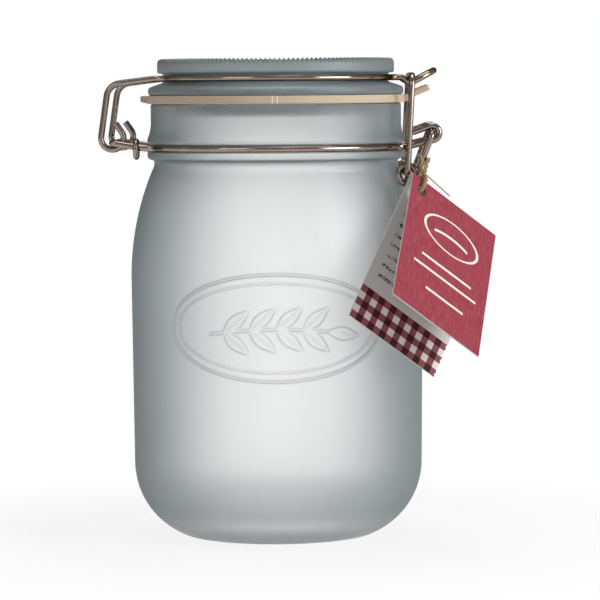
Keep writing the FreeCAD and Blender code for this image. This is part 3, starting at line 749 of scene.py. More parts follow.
def smooth_path(points: Sequence[Vector], step: float) -> list[Vector]:
    """A smooth line through the points, in even steps.

    Args:
        points: the places that it passes.
        step: metres between its own points.

    Returns:
        The line's points.
    """
    ends = [points[0] * 2 - points[1], *points, points[-1] * 2 - points[-2]]
    line = []
    for a, b, c, d in zip(ends, ends[1:], ends[2:], ends[3:]):
        count = max(1, round((c - b).length / step))
        for k in range(count):
            s = k / count
            line.append(
                0.5 * (2 * b + (c - a) * s + (2 * a - 5 * b + 4 * c - d) * s**2 + (3 * b - a - 3 * c + d) * s**3)
            )
    return line + [points[-1]]


def joined(pieces: Sequence[bpy.types.Object], name: str, finish: bpy.types.Material) -> bpy.types.Object:
    """One piece in one finish from several meshes."""
    vertices, faces = [], []
    for piece in pieces:
        start = len(vertices)
        vertices += [v.co.copy() for v in piece.data.vertices]
        faces += [[start + i for i in p.vertices] for p in piece.data.polygons]
    mesh = bpy.data.meshes.new(name)
    mesh.from_pydata(vertices, [], faces)
    mesh.materials.append(finish)
    mesh.shade_smooth()
    mesh.set_sharp_from_angle(angle=SHARP)
    for piece in pieces:
        bpy.data.objects.remove(piece)
    return new_object(name, mesh)


class NodeTree:
    """A geometry node tree with named inputs."""

    def __init__(self, name: str) -> None:
        """Starts a tree with a geometry input and output."""
        self.tree = bpy.data.node_groups.new(name, "GeometryNodeTree")
        self.identifiers: dict[str, str] = {}
        self.tree.interface.new_socket("Geometry", in_out="INPUT", socket_type="NodeSocketGeometry")
        self.tree.interface.new_socket("Geometry", in_out="OUTPUT", socket_type="NodeSocketGeometry")
        self.start = self.tree.nodes.new("NodeGroupInput")
        self.end = self.tree.nodes.new("NodeGroupOutput")

    def number(self, name: str, default: float) -> bpy.types.NodeSocket:
        """Adds a named size to the tree's inputs."""
        made = self.tree.interface.new_socket(name, in_out="INPUT", socket_type="NodeSocketFloat")
        made.default_value = default
        self.identifiers[name] = made.identifier
        return next(s for s in self.start.outputs if s.identifier == made.identifier)

    def add(self, kind: str, settings: dict | None = None, inputs: dict | None = None) -> bpy.types.Node:
        """Adds a node.

        Args:
            kind: the node's type.
            settings: its own settings.
            inputs: values or sockets to link, by name or number.

        Returns:
            The node.
        """
        made = self.tree.nodes.new(kind)
        for name, setting in (settings or {}).items():
            setattr(made, name, setting)
        for key, given in (inputs or {}).items():
            if isinstance(given, bpy.types.NodeSocket):
                self.tree.links.new(given, made.inputs[key])
            else:
                made.inputs[key].default_value = given
        return made

    def link(self, start: bpy.types.NodeSocket, end: bpy.types.NodeSocket) -> None:
        """Links an output to an input that may take several."""
        self.tree.links.new(start, end)

    def maths(self, operation: str, *values: "bpy.types.NodeSocket | float") -> bpy.types.NodeSocket:
        """One Math node's result."""
        return self.add("ShaderNodeMath", {"operation": operation}, dict(enumerate(values))).outputs[0]

    def vector_maths(self, operation: str, inputs: dict) -> bpy.types.NodeSocket:
        """One Vector Math node's result."""
        return self.add("ShaderNodeVectorMath", {"operation": operation}, inputs).outputs[0]

    def close(self, geometry: bpy.types.NodeSocket, material: bpy.types.Material) -> None:
        """Realizes the result, gives it its material and ends the tree."""
        real = self.add("GeometryNodeRealizeInstances", inputs={0: geometry}).outputs[0]
        dressed = self.add("GeometryNodeSetMaterial", inputs={0: real, "Material": material}).outputs[0]
        self.tree.links.new(dressed, self.end.inputs[0])

    def applied(self, source: bpy.types.Object, name: str, sizes: dict[str, float]) -> bpy.types.Object:
        """Runs the tree on an object and keeps only the plain mesh.

        Args:
            source: the object it reads, which is removed.
            name: the new piece's name.
            sizes: values of its named inputs.

        Returns:
            The finished piece.
        """
        modifier = source.modifiers.new(name, "NODES")
        modifier.node_group = self.tree
        for key, number in sizes.items():
            modifier[self.identifiers[key]] = number
        return settled(source, name)


# ---------------------------------------------------------------- glass jar
@dataclass
class SprigMark:
    """Raised mark moulded on the front of the glass: an oval ridge round a leafy sprig. Millimetres.

    Attributes:
        middle: height of its middle above the table.
        half_width: half the oval's width.
        half_height: half its height.
        ridge: about half the outer ridge's width.
        depth: how far the outer ridge stands out.
        inner_gap: from the outer ridge to the finer inner one.
        leaf_length: from foot to point.
        leaf_width: at the widest.
        leaf_places: feet of the leaf pairs along the stem.
        leaf_turn: their angle from it, in degrees.
        tip_place: foot of the end leaf.
        tip_turn: its angle, in degrees.
        stem_half: half the stem's length.
        stem_thickness: about half the stem's width.
    """

    middle: float = 79.5
    half_width: float = 40.5
    half_height: float = 19.0
    ridge: float = 0.45
    depth: float = 1.0
    inner_gap: float = 3.2
    leaf_length: float = 12.5
    leaf_width: float = 4.6
    leaf_places: tuple[float, ...] = (-19.0, -9.5, 0.0, 9.5)
    leaf_turn: float = 40.0
    tip_place: float = 18.5
    tip_turn: float = -8.0
    stem_half: float = 24.0
    stem_thickness: float = 0.55

    def height(self, across: np.ndarray, up: np.ndarray) -> np.ndarray:
        """How far the mark stands out of the glass.

        Args:
            across: millimetres round the front from its middle.
            up: millimetres above the table.

        Returns:
            The height at each place.
        """
        y = up - self.middle
        outer = self._oval(across, y, self.half_width, self.half_height)
        inner = self._oval(across, y, self.half_width - self.inner_gap, self.half_height - self.inner_gap)
        lines = np.exp(-((outer / self.ridge) ** 2))
        lines = np.maximum(lines, 0.7 * np.exp(-((inner / (self.ridge * 0.7)) ** 2)))
        return self.depth * np.maximum(lines, 0.85 * self._sprig(across, y))

    def _oval(self, x: np.ndarray, y: np.ndarray, a: float, b: float) -> np.ndarray:
        """Rough distance from an oval."""
        k1 = np.sqrt((x / a) ** 2 + (y / b) ** 2)
        k2 = np.sqrt((x / a**2) ** 2 + (y / b**2) ** 2) + 1e-6
        return k1 * (k1 - 1) / k2

    def _sprig(self, x: np.ndarray, y: np.ndarray) -> np.ndarray:
        """A bowed stem with leaves in pairs and one at its tip, 0 to 1."""
        ends = 1 + np.exp((np.abs(x) - self.stem_half) * 3)
        out = np.exp(-(((y - self._bow(x)) / self.stem_thickness) ** 2)) / ends
        for place in self.leaf_places:
            for side in (-1, 1):
                out = np.maximum(out, self._leaf(x, y, place, side * self.leaf_turn))
        return np.maximum(out, self._leaf(x, y, self.tip_place, self.tip_turn))

    @staticmethod
    def _bow(x: "np.ndarray | float") -> "np.ndarray | float":
        """Height of the bowed stem."""
        return 2.2 * np.cos(x / 17.0) - 2.6

    def _leaf(self, x: np.ndarray, y: np.ndarray, place: float, degrees: float) -> np.ndarray:
        """One pointed leaf with a soft edge and a sunk middle vein."""
        foot = self._bow(place)
        turn = math.radians(degrees)
        along = (x - place) * math.cos(turn) + (y - foot) * math.sin(turn)
        beside = (y - foot) * math.cos(turn) - (x - place) * math.sin(turn)
        share = np.clip(along / self.leaf_length, 0.0, 1.0)
        half = self.leaf_width * 0.5 * np.sin(np.pi * share**0.85)
        inside = 1 / (1 + np.exp(np.clip((np.abs(beside) - half) * 8.0, -30, 30)))
        vein = 1 - 0.55 * np.exp(-((beside / 0.4) ** 2))
        return inside * vein * ((along > 0) & (along < self.leaf_length))


@dataclass
class JarGlass:
    """The jar's glass: a turned section with the moulded mark on its front.

    Millimetres, with heights above the table.

    Attributes:
        height: the rim's.
        body: greatest radius, at the belly.
        belly: height of that.
        waist: radius just over the heel.
        heel: height where the heel's curve ends.
        heel_curve: radius of that curve.
        foot_width: of the ring that it stands on.
        push_up: how far the base rises inside the ring.
        push_run: how far in the rise goes.
        shoulder: radius of the shoulder's curve.
        notch: radius of the neck under the lower bead.
        wire_height: middle of the neck wire.
        groove_half: half the groove's width.
        groove_floor: radius at its floor.
        bead: radius of both beads.
        lower_bead: width of the lower one.
        upper_bead: width of the upper one.
        bevel: slope beside the beads.
        flare: how far up the upper bead runs out.
        rim: outer radius of the rim.
        lip: rounding of the rim and beads.
        mouth: inner radius of the neck.
        wall: thickness of the body.
        floor: thickness of the base.
        inner_heel: radius of the corner inside.
        foot_soft: rounding of the foot.
        side_from: where the wall's evenly spaced rows start.
        coarse_step: between those rows.
        fine_step: between rows and columns under the mark.
        mark_margin: fine rows over and under the mark.
        back_columns: columns away from the mark.
    """

    height: float = 158.4
    body: float = 53.65
    belly: float = 94.6
    waist: float = 53.05
    heel: float = 26.6
    heel_curve: float = 28.5
    foot_width: float = 3.4
    push_up: float = 2.4
    push_run: float = 5.0
    shoulder: float = 101.0
    notch: float = 44.9
    wire_height: float = 142.5
    groove_half: float = 1.5
    groove_floor: float = 45.9
    bead: float = 47.3
    lower_bead: float = 2.5
    upper_bead: float = 3.2
    bevel: float = 0.9
    flare: float = 3.2
    rim: float = 46.0
    lip: float = 0.9
    mouth: float = 41.6
    wall: float = 3.7
    floor: float = 7.2
    inner_heel: float = 22.0
    foot_soft: float = 1.2
    side_from: float = 34.0
    coarse_step: float = 5.0
    fine_step: float = 0.3
    mark_margin: float = 2.0
    back_columns: int = 84

    def outside(self) -> tuple[Profile, range]:
        """The section from the middle of the underside up to the rim, and its finely stepped rows."""
        middle = self.waist - self.heel_curve
        foot = middle + math.sqrt(self.heel_curve**2 - self.heel**2)
        start = -math.degrees(math.asin(self.heel / self.heel_curve))
        centre = self.body - self.shoulder
        end = math.degrees(math.acos((self.notch - centre) / self.shoulder))
        low = [(0.0, self.push_up), (foot - self.foot_width - self.push_run, self.push_up)]
        low += [(foot - self.foot_width, 0.0), (foot, 0.0)]
        line = softened(low + arc((middle, self.heel), self.heel_curve, start + 3, 0, 18), self.foot_soft)
        mark = SprigMark()
        reach = mark.half_height + self.mark_margin
        bottom, top = mark.middle - reach, mark.middle + reach
        line += [(self._side(z), z) for z in np.arange(self.side_from, bottom, self.coarse_step)]
        first = len(line) - 1
        line += [(self._side(z), z) for z in np.arange(bottom, top, self.fine_step)]
        fine = range(first, len(line) - 1)
        place = math.degrees(math.asin((top - self.belly) / self.shoulder))
        line += arc((centre, self.belly), self.shoulder, place, end, 26)
        return line, fine

    def _side(self, z: float) -> float:
        """The body's radius at a height."""
        if z > self.belly:
            return self.body - self.shoulder + math.sqrt(self.shoulder**2 - (z - self.belly) ** 2)
        share = (z - self.heel) / (self.belly - self.heel)
        return self.waist + share * (self.body - self.waist)

    def neck(self) -> Profile:
        """The beads, the wire's groove and the rim."""
        wire, half, bevel = self.wire_height, self.groove_half, self.bevel
        low, high = wire - half - self.lower_bead, wire + half + self.upper_bead
        return [
            (self.notch, low - bevel),
            (self.bead, low),
            (self.bead, wire - half),
            (self.groove_floor, wire - half + bevel * 0.4),
            (self.groove_floor, wire + half - bevel * 0.4),
            (self.bead, wire + half),
            (self.bead, high - self.flare * 0.5),
            (self.rim + 0.45, high + self.flare * 0.15),
            (self.rim, high + self.flare),
            (self.rim, self.height),
        ]

    def inside(self) -> Profile:
        """From the mouth down to the middle of the floor."""
        inner = self.body - self.wall
        centre, curve = self.body - self.shoulder, self.shoulder - self.wall
        start = math.degrees(math.acos((self.mouth - centre) / curve))
        line = [(self.mouth, self.height)]
        line += arc((centre, self.belly), curve, start, 0, 16)
        corner = (inner - self.inner_heel, self.floor + self.inner_heel)
        return line + arc(corner, self.inner_heel, 0, -90, 16) + [(0.0, self.floor)]

    def build(self, frosted: bpy.types.Material, smooth: bpy.types.Material) -> bpy.types.Object:
        """Turns the section, frosted outside and smooth inside.

        Args:
            frosted: finish of the outside.
            smooth: finish of the inside.

        Returns:
            The jar.
        """
        line, fine = self.outside()
        line += softened(self.neck() + self.inside(), self.lip, 5)
        front = math.degrees(SprigMark().half_width / self.body) + 2.5
        fine_columns = round(2 * math.radians(front) * self.body / self.fine_step)
        close = np.linspace(-90 - front, -90 + front, fine_columns)
        rest = np.linspace(-90 + front, 270 - front, self.back_columns)[1:-1]
        angles = np.radians(np.concatenate([close, rest]))
        mesh = lathe("jar_glass", line, angles, SprigMark().height, fine)
        mesh.materials.append(frosted)
        mesh.materials.append(smooth)
        split = next(i for i, (_, z) in enumerate(line) if z > self.height - 0.01)
        columns = len(angles)
        inner_from = columns + (split - 1) * columns
        slots = np.zeros(len(mesh.polygons), np.int32)
        slots[inner_from:] = 1
        mesh.polygons.foreach_set("material_index", slots)
        piece = new_object("jar_glass", mesh)
        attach(piece, "jar")
        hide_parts("jar")
        return piece


# ---------------------------------------------------------------- lid and seal
@dataclass
class LidGlass:
    """The glass lid: a plug, a flange, the bail's groove and a dished disc with a saw-toothed edge.

    Millimetres, with heights above the table.

    Attributes:
        seat: underside of the flange.
        ceiling: top of the hollow in the plug.
        plug_foot: lowest edge of the plug.
        hollow: the hollow's radius at its mouth.
        plug: the plug's radius under the flange.
        draft: how much the moulded walls lean.
        flange: the flange's radius.
        flange_top: its upper edge.
        groove: radius of the bail's groove.
        groove_low: where the groove starts.
        groove_high: underside of the disc.
        disc: the disc's radius.
        top: tips of the teeth.
        dish: how far the disc's middle lies under them.
        corner: rounding of the glass's corners.
        teeth: their number.
        tooth_steps: columns of points in a tooth.
        tooth_depth: from a tip to the gap beside it.
        tooth_reach: how far in the teeth run.
        tooth_ramp: share of that reach in which they fade out.
    """

    seat: float = 161.4
    ceiling: float = 166.42
    plug_foot: float = 153.72
    hollow: float = 35.6
    plug: float = 39.6
    draft: float = 0.8
    flange: float = 46.9
    flange_top: float = 164.3
    groove: float = 41.3
    groove_low: float = 165.9
    groove_high: float = 169.42
    disc: float = 43.5
    top: float = 174.82
    dish: float = 1.3
    corner: float = 2.0
    teeth: int = 156
    tooth_steps: int = 4
    tooth_depth: float = 0.85
    tooth_reach: float = 4.0
    tooth_ramp: float = 0.35

    def section(self) -> Profile:
        """From the middle of the hollow's ceiling round the outside to the middle of the disc."""
        low = [
            (0.0, self.ceiling),
            (self.hollow - self.draft, self.ceiling),
            (self.hollow, self.plug_foot),
            (self.plug - self.draft, self.plug_foot),
            (self.plug, self.seat),
            (self.flange, self.seat),
            (self.flange, self.flange_top),
            (self.groove + self.draft, self.groove_low),
            (self.groove, self.groove_low + self.draft * 0.5),
            (self.groove, self.groove_high),
            (self.disc, self.groove_high),
            (self.disc, self.top),
            (self.disc - self.tooth_reach - 1.2, self.top),
        ]
        line = softened(low, self.corner, 6)[:-1]
        full, gone = self.disc - self.tooth_reach * (1 - self.tooth_ramp), self.disc - self.tooth_reach
        line += [(r, self.top) for r in np.linspace(self.disc - self.corner - 0.1, full, 3)]
        line += [(full + (gone - full) * k, self.top - self.dish * k) for k in (0.35, 0.7, 1.0)]
        return line + [(r, self.top - self.dish) for r in np.linspace(gone - 1.0, 0, 6)]

    def _grip_tree(self, finish: bpy.types.Material) -> NodeTree:
        """Saw teeth all round the disc's top edge, which fade out in from it and down its side."""
        tree = NodeTree("saw_toothed_edge")
        teeth, depth = tree.number("Teeth", 100.0), tree.number("Depth", 0.001)
        reach, edge = tree.number("Reach", 0.003), tree.number("Edge radius", 0.04)
        top, corner = tree.number("Top", 0.17), tree.number("Corner", 0.001)
        place = tree.add("GeometryNodeInputPosition").outputs[0]
        parts = tree.add("ShaderNodeSeparateXYZ", inputs={0: place}).outputs
        turn = tree.maths("ARCTAN2", parts["Y"], parts["X"])
        beat = tree.maths("DIVIDE", tree.maths("MULTIPLY", turn, teeth), 2 * math.pi)
        wave = tree.maths("MULTIPLY", tree.maths("PINGPONG", beat, 0.5), 2.0)
        squares = [tree.maths("POWER", parts[axis], 2.0) for axis in ("X", "Y")]
        out = tree.maths("SQRT", tree.maths("ADD", *squares))
        start = tree.maths("SUBTRACT", edge, reach)
        ramp = tree.maths("MULTIPLY", reach, self.tooth_ramp)
        near_edge = tree.maths("DIVIDE", tree.maths("SUBTRACT", out, start), ramp)
        low = tree.maths("SUBTRACT", top, tree.maths("MULTIPLY", corner, 1.5))
        high_up = tree.maths("DIVIDE", tree.maths("SUBTRACT", parts["Z"], low), corner)
        mask = tree.maths("MULTIPLY", self._kept(tree, near_edge), self._kept(tree, high_up))
        drop = tree.maths("MULTIPLY", tree.maths("MULTIPLY", wave, depth), mask)
        offset = tree.add("ShaderNodeCombineXYZ", inputs={"Z": tree.maths("MULTIPLY", drop, -1.0)}).outputs[0]
        moved = tree.add("GeometryNodeSetPosition", inputs={0: tree.start.outputs[0], "Offset": offset})
        tree.close(moved.outputs[0], finish)
        return tree

    @staticmethod
    def _kept(tree: NodeTree, share: bpy.types.NodeSocket) -> bpy.types.NodeSocket:
        """A share kept between 0 and 1."""
        return tree.maths("MINIMUM", tree.maths("MAXIMUM", share, 0.0), 1.0)

    def build(self, finish: bpy.types.Material) -> bpy.types.Object:
        """Turns the lid and cuts its grip.

        Args:
            finish: the lid's glass.

        Returns:
            The lid.
        """
        angles = np.linspace(0, 2 * math.pi, self.teeth * self.tooth_steps + 1)[:-1]
        blank = new_object("lid_blank", lathe("lid_blank", self.section(), angles))
        sizes = {
            "Teeth": float(self.teeth),
            "Depth": self.tooth_depth * MM,
            "Reach": self.tooth_reach * MM,
            "Edge radius": self.disc * MM,
            "Top": self.top * MM,
            "Corner": self.corner * MM,
        }
        piece = self._grip_tree(finish).applied(blank, "lid_glass", sizes)
        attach(piece, "lid")
        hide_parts("lid")
        return piece


@dataclass
class SealRing:
    """The rubber ring between lid and jar, with a pull tab at the latch and a short one at the hinge.

    Millimetres, with heights above the table.

    Attributes:
        low: the ring's underside.
        high: its top.
        hole: its inner radius.
        edge: its outer radius.
        tab_width: of both tabs.
        tab_soft: rounding of the tabs.
        soft: rounding of the ring.
        columns: facets round the ring.
    """

    low: float = 158.5
    high: float = 161.4
    hole: float = 39.85
    edge: float = 47.5
    tab_width: float = 14.0
    tab_soft: float = 0.6
    soft: float = 0.45
    columns: int = 192

    def tabs(self) -> list[Profile]:
        """Side views of the two tabs."""
        low, high, edge = self.low, self.high, self.edge
        front = [
            (edge - 2.0, low + 0.3),
            (edge + 0.6, low + 0.3),
            (edge + 3.7, low + 2.3),
            (edge + 9.0, low + 4.4),
            (edge + 8.2, low + 6.6),
            (edge + 3.2, low + 4.7),
            (edge + 0.6, high - 0.1),
            (edge - 2.0, high - 0.1),
        ]
        rear = [
            (4.0 - edge, low + 0.05),
            (4.0 - edge, high - 0.05),
            (-edge, high - 0.05),
            (-edge - 2.0, high),
            (-edge - 2.0, low + 0.7),
            (1.0 - edge, low + 0.05),
        ]
        return [front, rear]

    def build(self, finish: bpy.types.Material) -> bpy.types.Object:
        """Turns the ring, adds the tabs and joins them.

        Args:
            finish: the rubber.

        Returns:
            The seal.
        """
        low, high, hole, edge = self.low, self.high, self.hole, self.edge
        middle = (hole + edge) / 2
        loop = [(middle, low), (edge, low), (edge, high), (hole, high), (hole, low), (middle, low)]
        angles = np.linspace(0, 2 * math.pi, self.columns + 1)[:-1]
        ring = lathe("seal_ring", softened(loop, self.soft, 4), angles, is_ring=True)
        pieces = [new_object("seal_ring", ring)]
        pieces += [self._tab(line) for line in self.tabs()]
        piece = joined(pieces, "seal", finish)
        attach(piece, "lid")
        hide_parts("gasket")
        return piece

    def _tab(self, line: Profile) -> bpy.types.Object:
        """One tab: its side view carried across its width, with soft edges."""
        half = self.tab_width / 2
        bare = prism("seal_tab", [Vector((x, side * half, z)) * MM for side in (-1, 1) for x, z in line])
        soft = bare.modifiers.new("soft", "BEVEL")
        soft.width, soft.segments, soft.limit_method = self.tab_soft * MM, 3, "ANGLE"
        return settled(bare, "seal_tab")


# ---------------------------------------------------------------- swing tag
@dataclass
class TagPlace:
    """Where the tag hangs: its hung corner and the directions of its fold and leaves. Millimetres.

    Attributes:
        corner: the hung end of the fold.
        turn: the fold's angle away from the X axis.
        dip: the fold's angle below level.
        swing: how far the leaves swing forward of plumb.
        hole_in: from the hung corner to the hole, along the fold and down.
    """

    corner: Vector
    turn: float = math.radians(26.5)
    dip: float = math.radians(34.7)
    swing: float = math.radians(25.7)
    hole_in: float = 4.8

    def directions(self) -> tuple[Vector, Vector, Vector]:
        """Along the fold, down between the leaves, and towards the back leaf."""
        level = Vector((math.cos(self.turn), math.sin(self.turn), 0))
        fold = level * math.cos(self.dip) - Vector((0, 0, math.sin(self.dip)))
        plumb = -level * math.sin(self.dip) - Vector((0, 0, math.cos(self.dip)))
        away = Vector((-math.sin(self.turn), math.cos(self.turn), 0))
        down = plumb * math.cos(self.swing) - away * math.sin(self.swing)
        return fold, down, plumb * math.sin(self.swing) + away * math.cos(self.swing)

    def hole(self) -> Vector:
        """Middle of the punched hole, between the leaves."""
        fold, down, _ = self.directions()
        return self.corner + (fold + down) * self.hole_in


class Leaf(Enum):
    """The two leaves of the tag, by which side of the fold they hang."""

    FRONT = -1
    BACK = 1


@dataclass
class SwingTag:
    """One card folded in two, with a punched corner. Millimetres.

    Attributes:
        place: where it hangs.
        width: along the fold.
        length: of each leaf, from fold to free edge.
        thickness: the card's.
        angle: between the leaves, in degrees.
        hole_radius: the punched hole's.
        hole_steps: sides of the hole.
        punch_reach: how far the punch goes to each side of the tag's middle plane.
        bow: how far a leaf bends out of flat.
        pinked_from: share of a leaf where its pinked edge starts.
        pinked_depth: of the pinked teeth.
        fold_steps: facets round the fold.
        columns: facets along the fold.
        rows: facets down a leaf.
    """

    place: TagPlace
    width: float = 41.3
    length: float = 60.6
    thickness: float = 0.5
    angle: float = 21.7
    hole_radius: float = 2.2
    hole_steps: int = 28
    punch_reach: float = 8.0
    bow: float = 0.5
    pinked_from: float = 0.76
    pinked_depth: float = 0.45
    fold_steps: int = 8
    columns: int = 48
    rows: int = 62

    def section(self) -> list[tuple[float, float, float, float, float]]:
        """Middle of the card in side view, from the back leaf's foot over the fold to the front one's.

        Returns:
            Down, behind, the two parts of the outward direction, and the share down a leaf.
        """
        half = math.radians(self.angle / 2)
        middle = self.thickness * 1.5
        out = []
        for leaf in (Leaf.BACK, Leaf.FRONT):
            side = leaf.value
            along = np.array([math.cos(half), side * math.sin(half)])
            outward = np.array([-math.sin(half), side * math.cos(half)])
            ends = (1, 0) if leaf is Leaf.BACK else (0, 1)
            shares = np.linspace(*ends, self.rows + 1)
            for share in shares:
                flare = self.bow * share**2 * math.sin(math.pi * (1 - share) * 0.5 + 0.6)
                at = along * share * self.length + outward * (middle - flare * 0.6)
                out.append((*at, *outward, share))
            if leaf is Leaf.BACK:
                turns = np.linspace(math.pi / 2 + half, 1.5 * math.pi - half, self.fold_steps + 1)
                for turn in turns[1:-1]:
                    way = np.array([math.cos(turn), math.sin(turn)])
                    out.append((*(way * middle), *way, 0.0))
        return out

    def point(self, across: float, down: float, behind: float) -> Vector:
        """A place in the tag's own directions, in metres."""
        fold, low, back = self.place.directions()
        return (self.place.corner + fold * across + low * down + back * behind) * MM

    def build(self, prints: CardPrint) -> bpy.types.Object:
        """Builds the card with its print on both sides.

        Args:
            prints: the card's three finishes.

        Returns:
            The tag.
        """
        section = self.section()
        vertices, places = self._points(section)
        faces, slots = self._faces(len(section))
        mesh = bpy.data.meshes.new("tag_card")
        mesh.from_pydata(vertices, [], faces)
        chart = mesh.uv_layers.new(name="card")
        for loop in mesh.loops:
            chart.data[loop.index].uv = places[loop.vertex_index]
        for finish in (prints.cover(), prints.page_side(), prints.cut_edge()):
            mesh.materials.append(finish)
        mesh.polygons.foreach_set("material_index", slots)
        piece = self._punched(new_object("tag_card", mesh))
        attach(piece, "jar")
        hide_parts("swing_tag")
        return piece

    def _points(self, section: list[tuple[float, ...]]) -> tuple[list[Vector], list[tuple[float, float]]]:
        """The card's outside and then its inside, row by row.

        Args:
            section: the card's side view.

        Returns:
            The points, and each one's place on the card's map.
        """
        vertices, places = [], []
        for layer in (0.5, -0.5):
            for down, behind, out_down, out_behind, share in section:
                shift = layer * self.thickness
                for x in np.linspace(0, self.width, self.columns + 1):
                    x = x + self._pinked(x, share, behind)
                    vertices.append(self.point(x, down + out_down * shift, behind + out_behind * shift))
                    places.append((x / self.width, share))
        return vertices, places

    def _faces(self, lines: int) -> tuple[list[list[int]], list[int]]:
        """Faces of the outside, the inside and the cut edge.

        Args:
            lines: rows of points on each side.

        Returns:
            The faces, and the finish of each: 0 the cover, 1 the page and 2 the cut edge.
        """
        count = self.columns + 1
        side = lines * count
        faces, slots = [], []
        for i in range(lines - 1):
            for j in range(self.columns):
                quad = [i * count + j, i * count + j + 1, (i + 1) * count + j + 1, (i + 1) * count + j]
                faces += [quad, [k + side for k in reversed(quad)]]
                slots += [0, 1]
        border = [(0, j) for j in range(count)]
        border += [(i, count - 1) for i in range(1, lines)]
        border += [(lines - 1, j) for j in range(count - 2, -1, -1)]
        border += [(i, 0) for i in range(lines - 2, 0, -1)]
        edge = [i * count + j for i, j in border]
        for a, b in zip(edge, edge[1:] + edge[:1]):
            faces.append([b, a, a + side, b + side])
            slots.append(2)
        return faces, slots

    def _pinked(self, x: float, share: float, behind: float) -> float:
        """Small teeth along the free end of the back leaf, where the strip was trimmed with pinking shears."""
        if x < self.width - 0.01 or share < self.pinked_from or behind < 0:
            return 0.0
        return -self.pinked_depth * abs(math.sin(share * self.rows * math.pi / 2))

    def _punched(self, card: bpy.types.Object) -> bpy.types.Object:
        """Cuts the hole through both leaves."""
        ring = []
        for depth in (-self.punch_reach, self.punch_reach):
            for k in range(self.hole_steps):
                turn = 2 * math.pi * k / self.hole_steps
                across = self.place.hole_in + self.hole_radius * math.cos(turn)
                low = self.place.hole_in + self.hole_radius * math.sin(turn)
                ring.append(self.point(across, low, depth))
        punch = prism("punch", ring)
        cut = card.modifiers.new("punch", "BOOLEAN")
        cut.operation, cut.solver, cut.object = "DIFFERENCE", "EXACT", punch
        piece = settled(card, "tag_card")
        bpy.data.objects.remove(punch)
        return piece


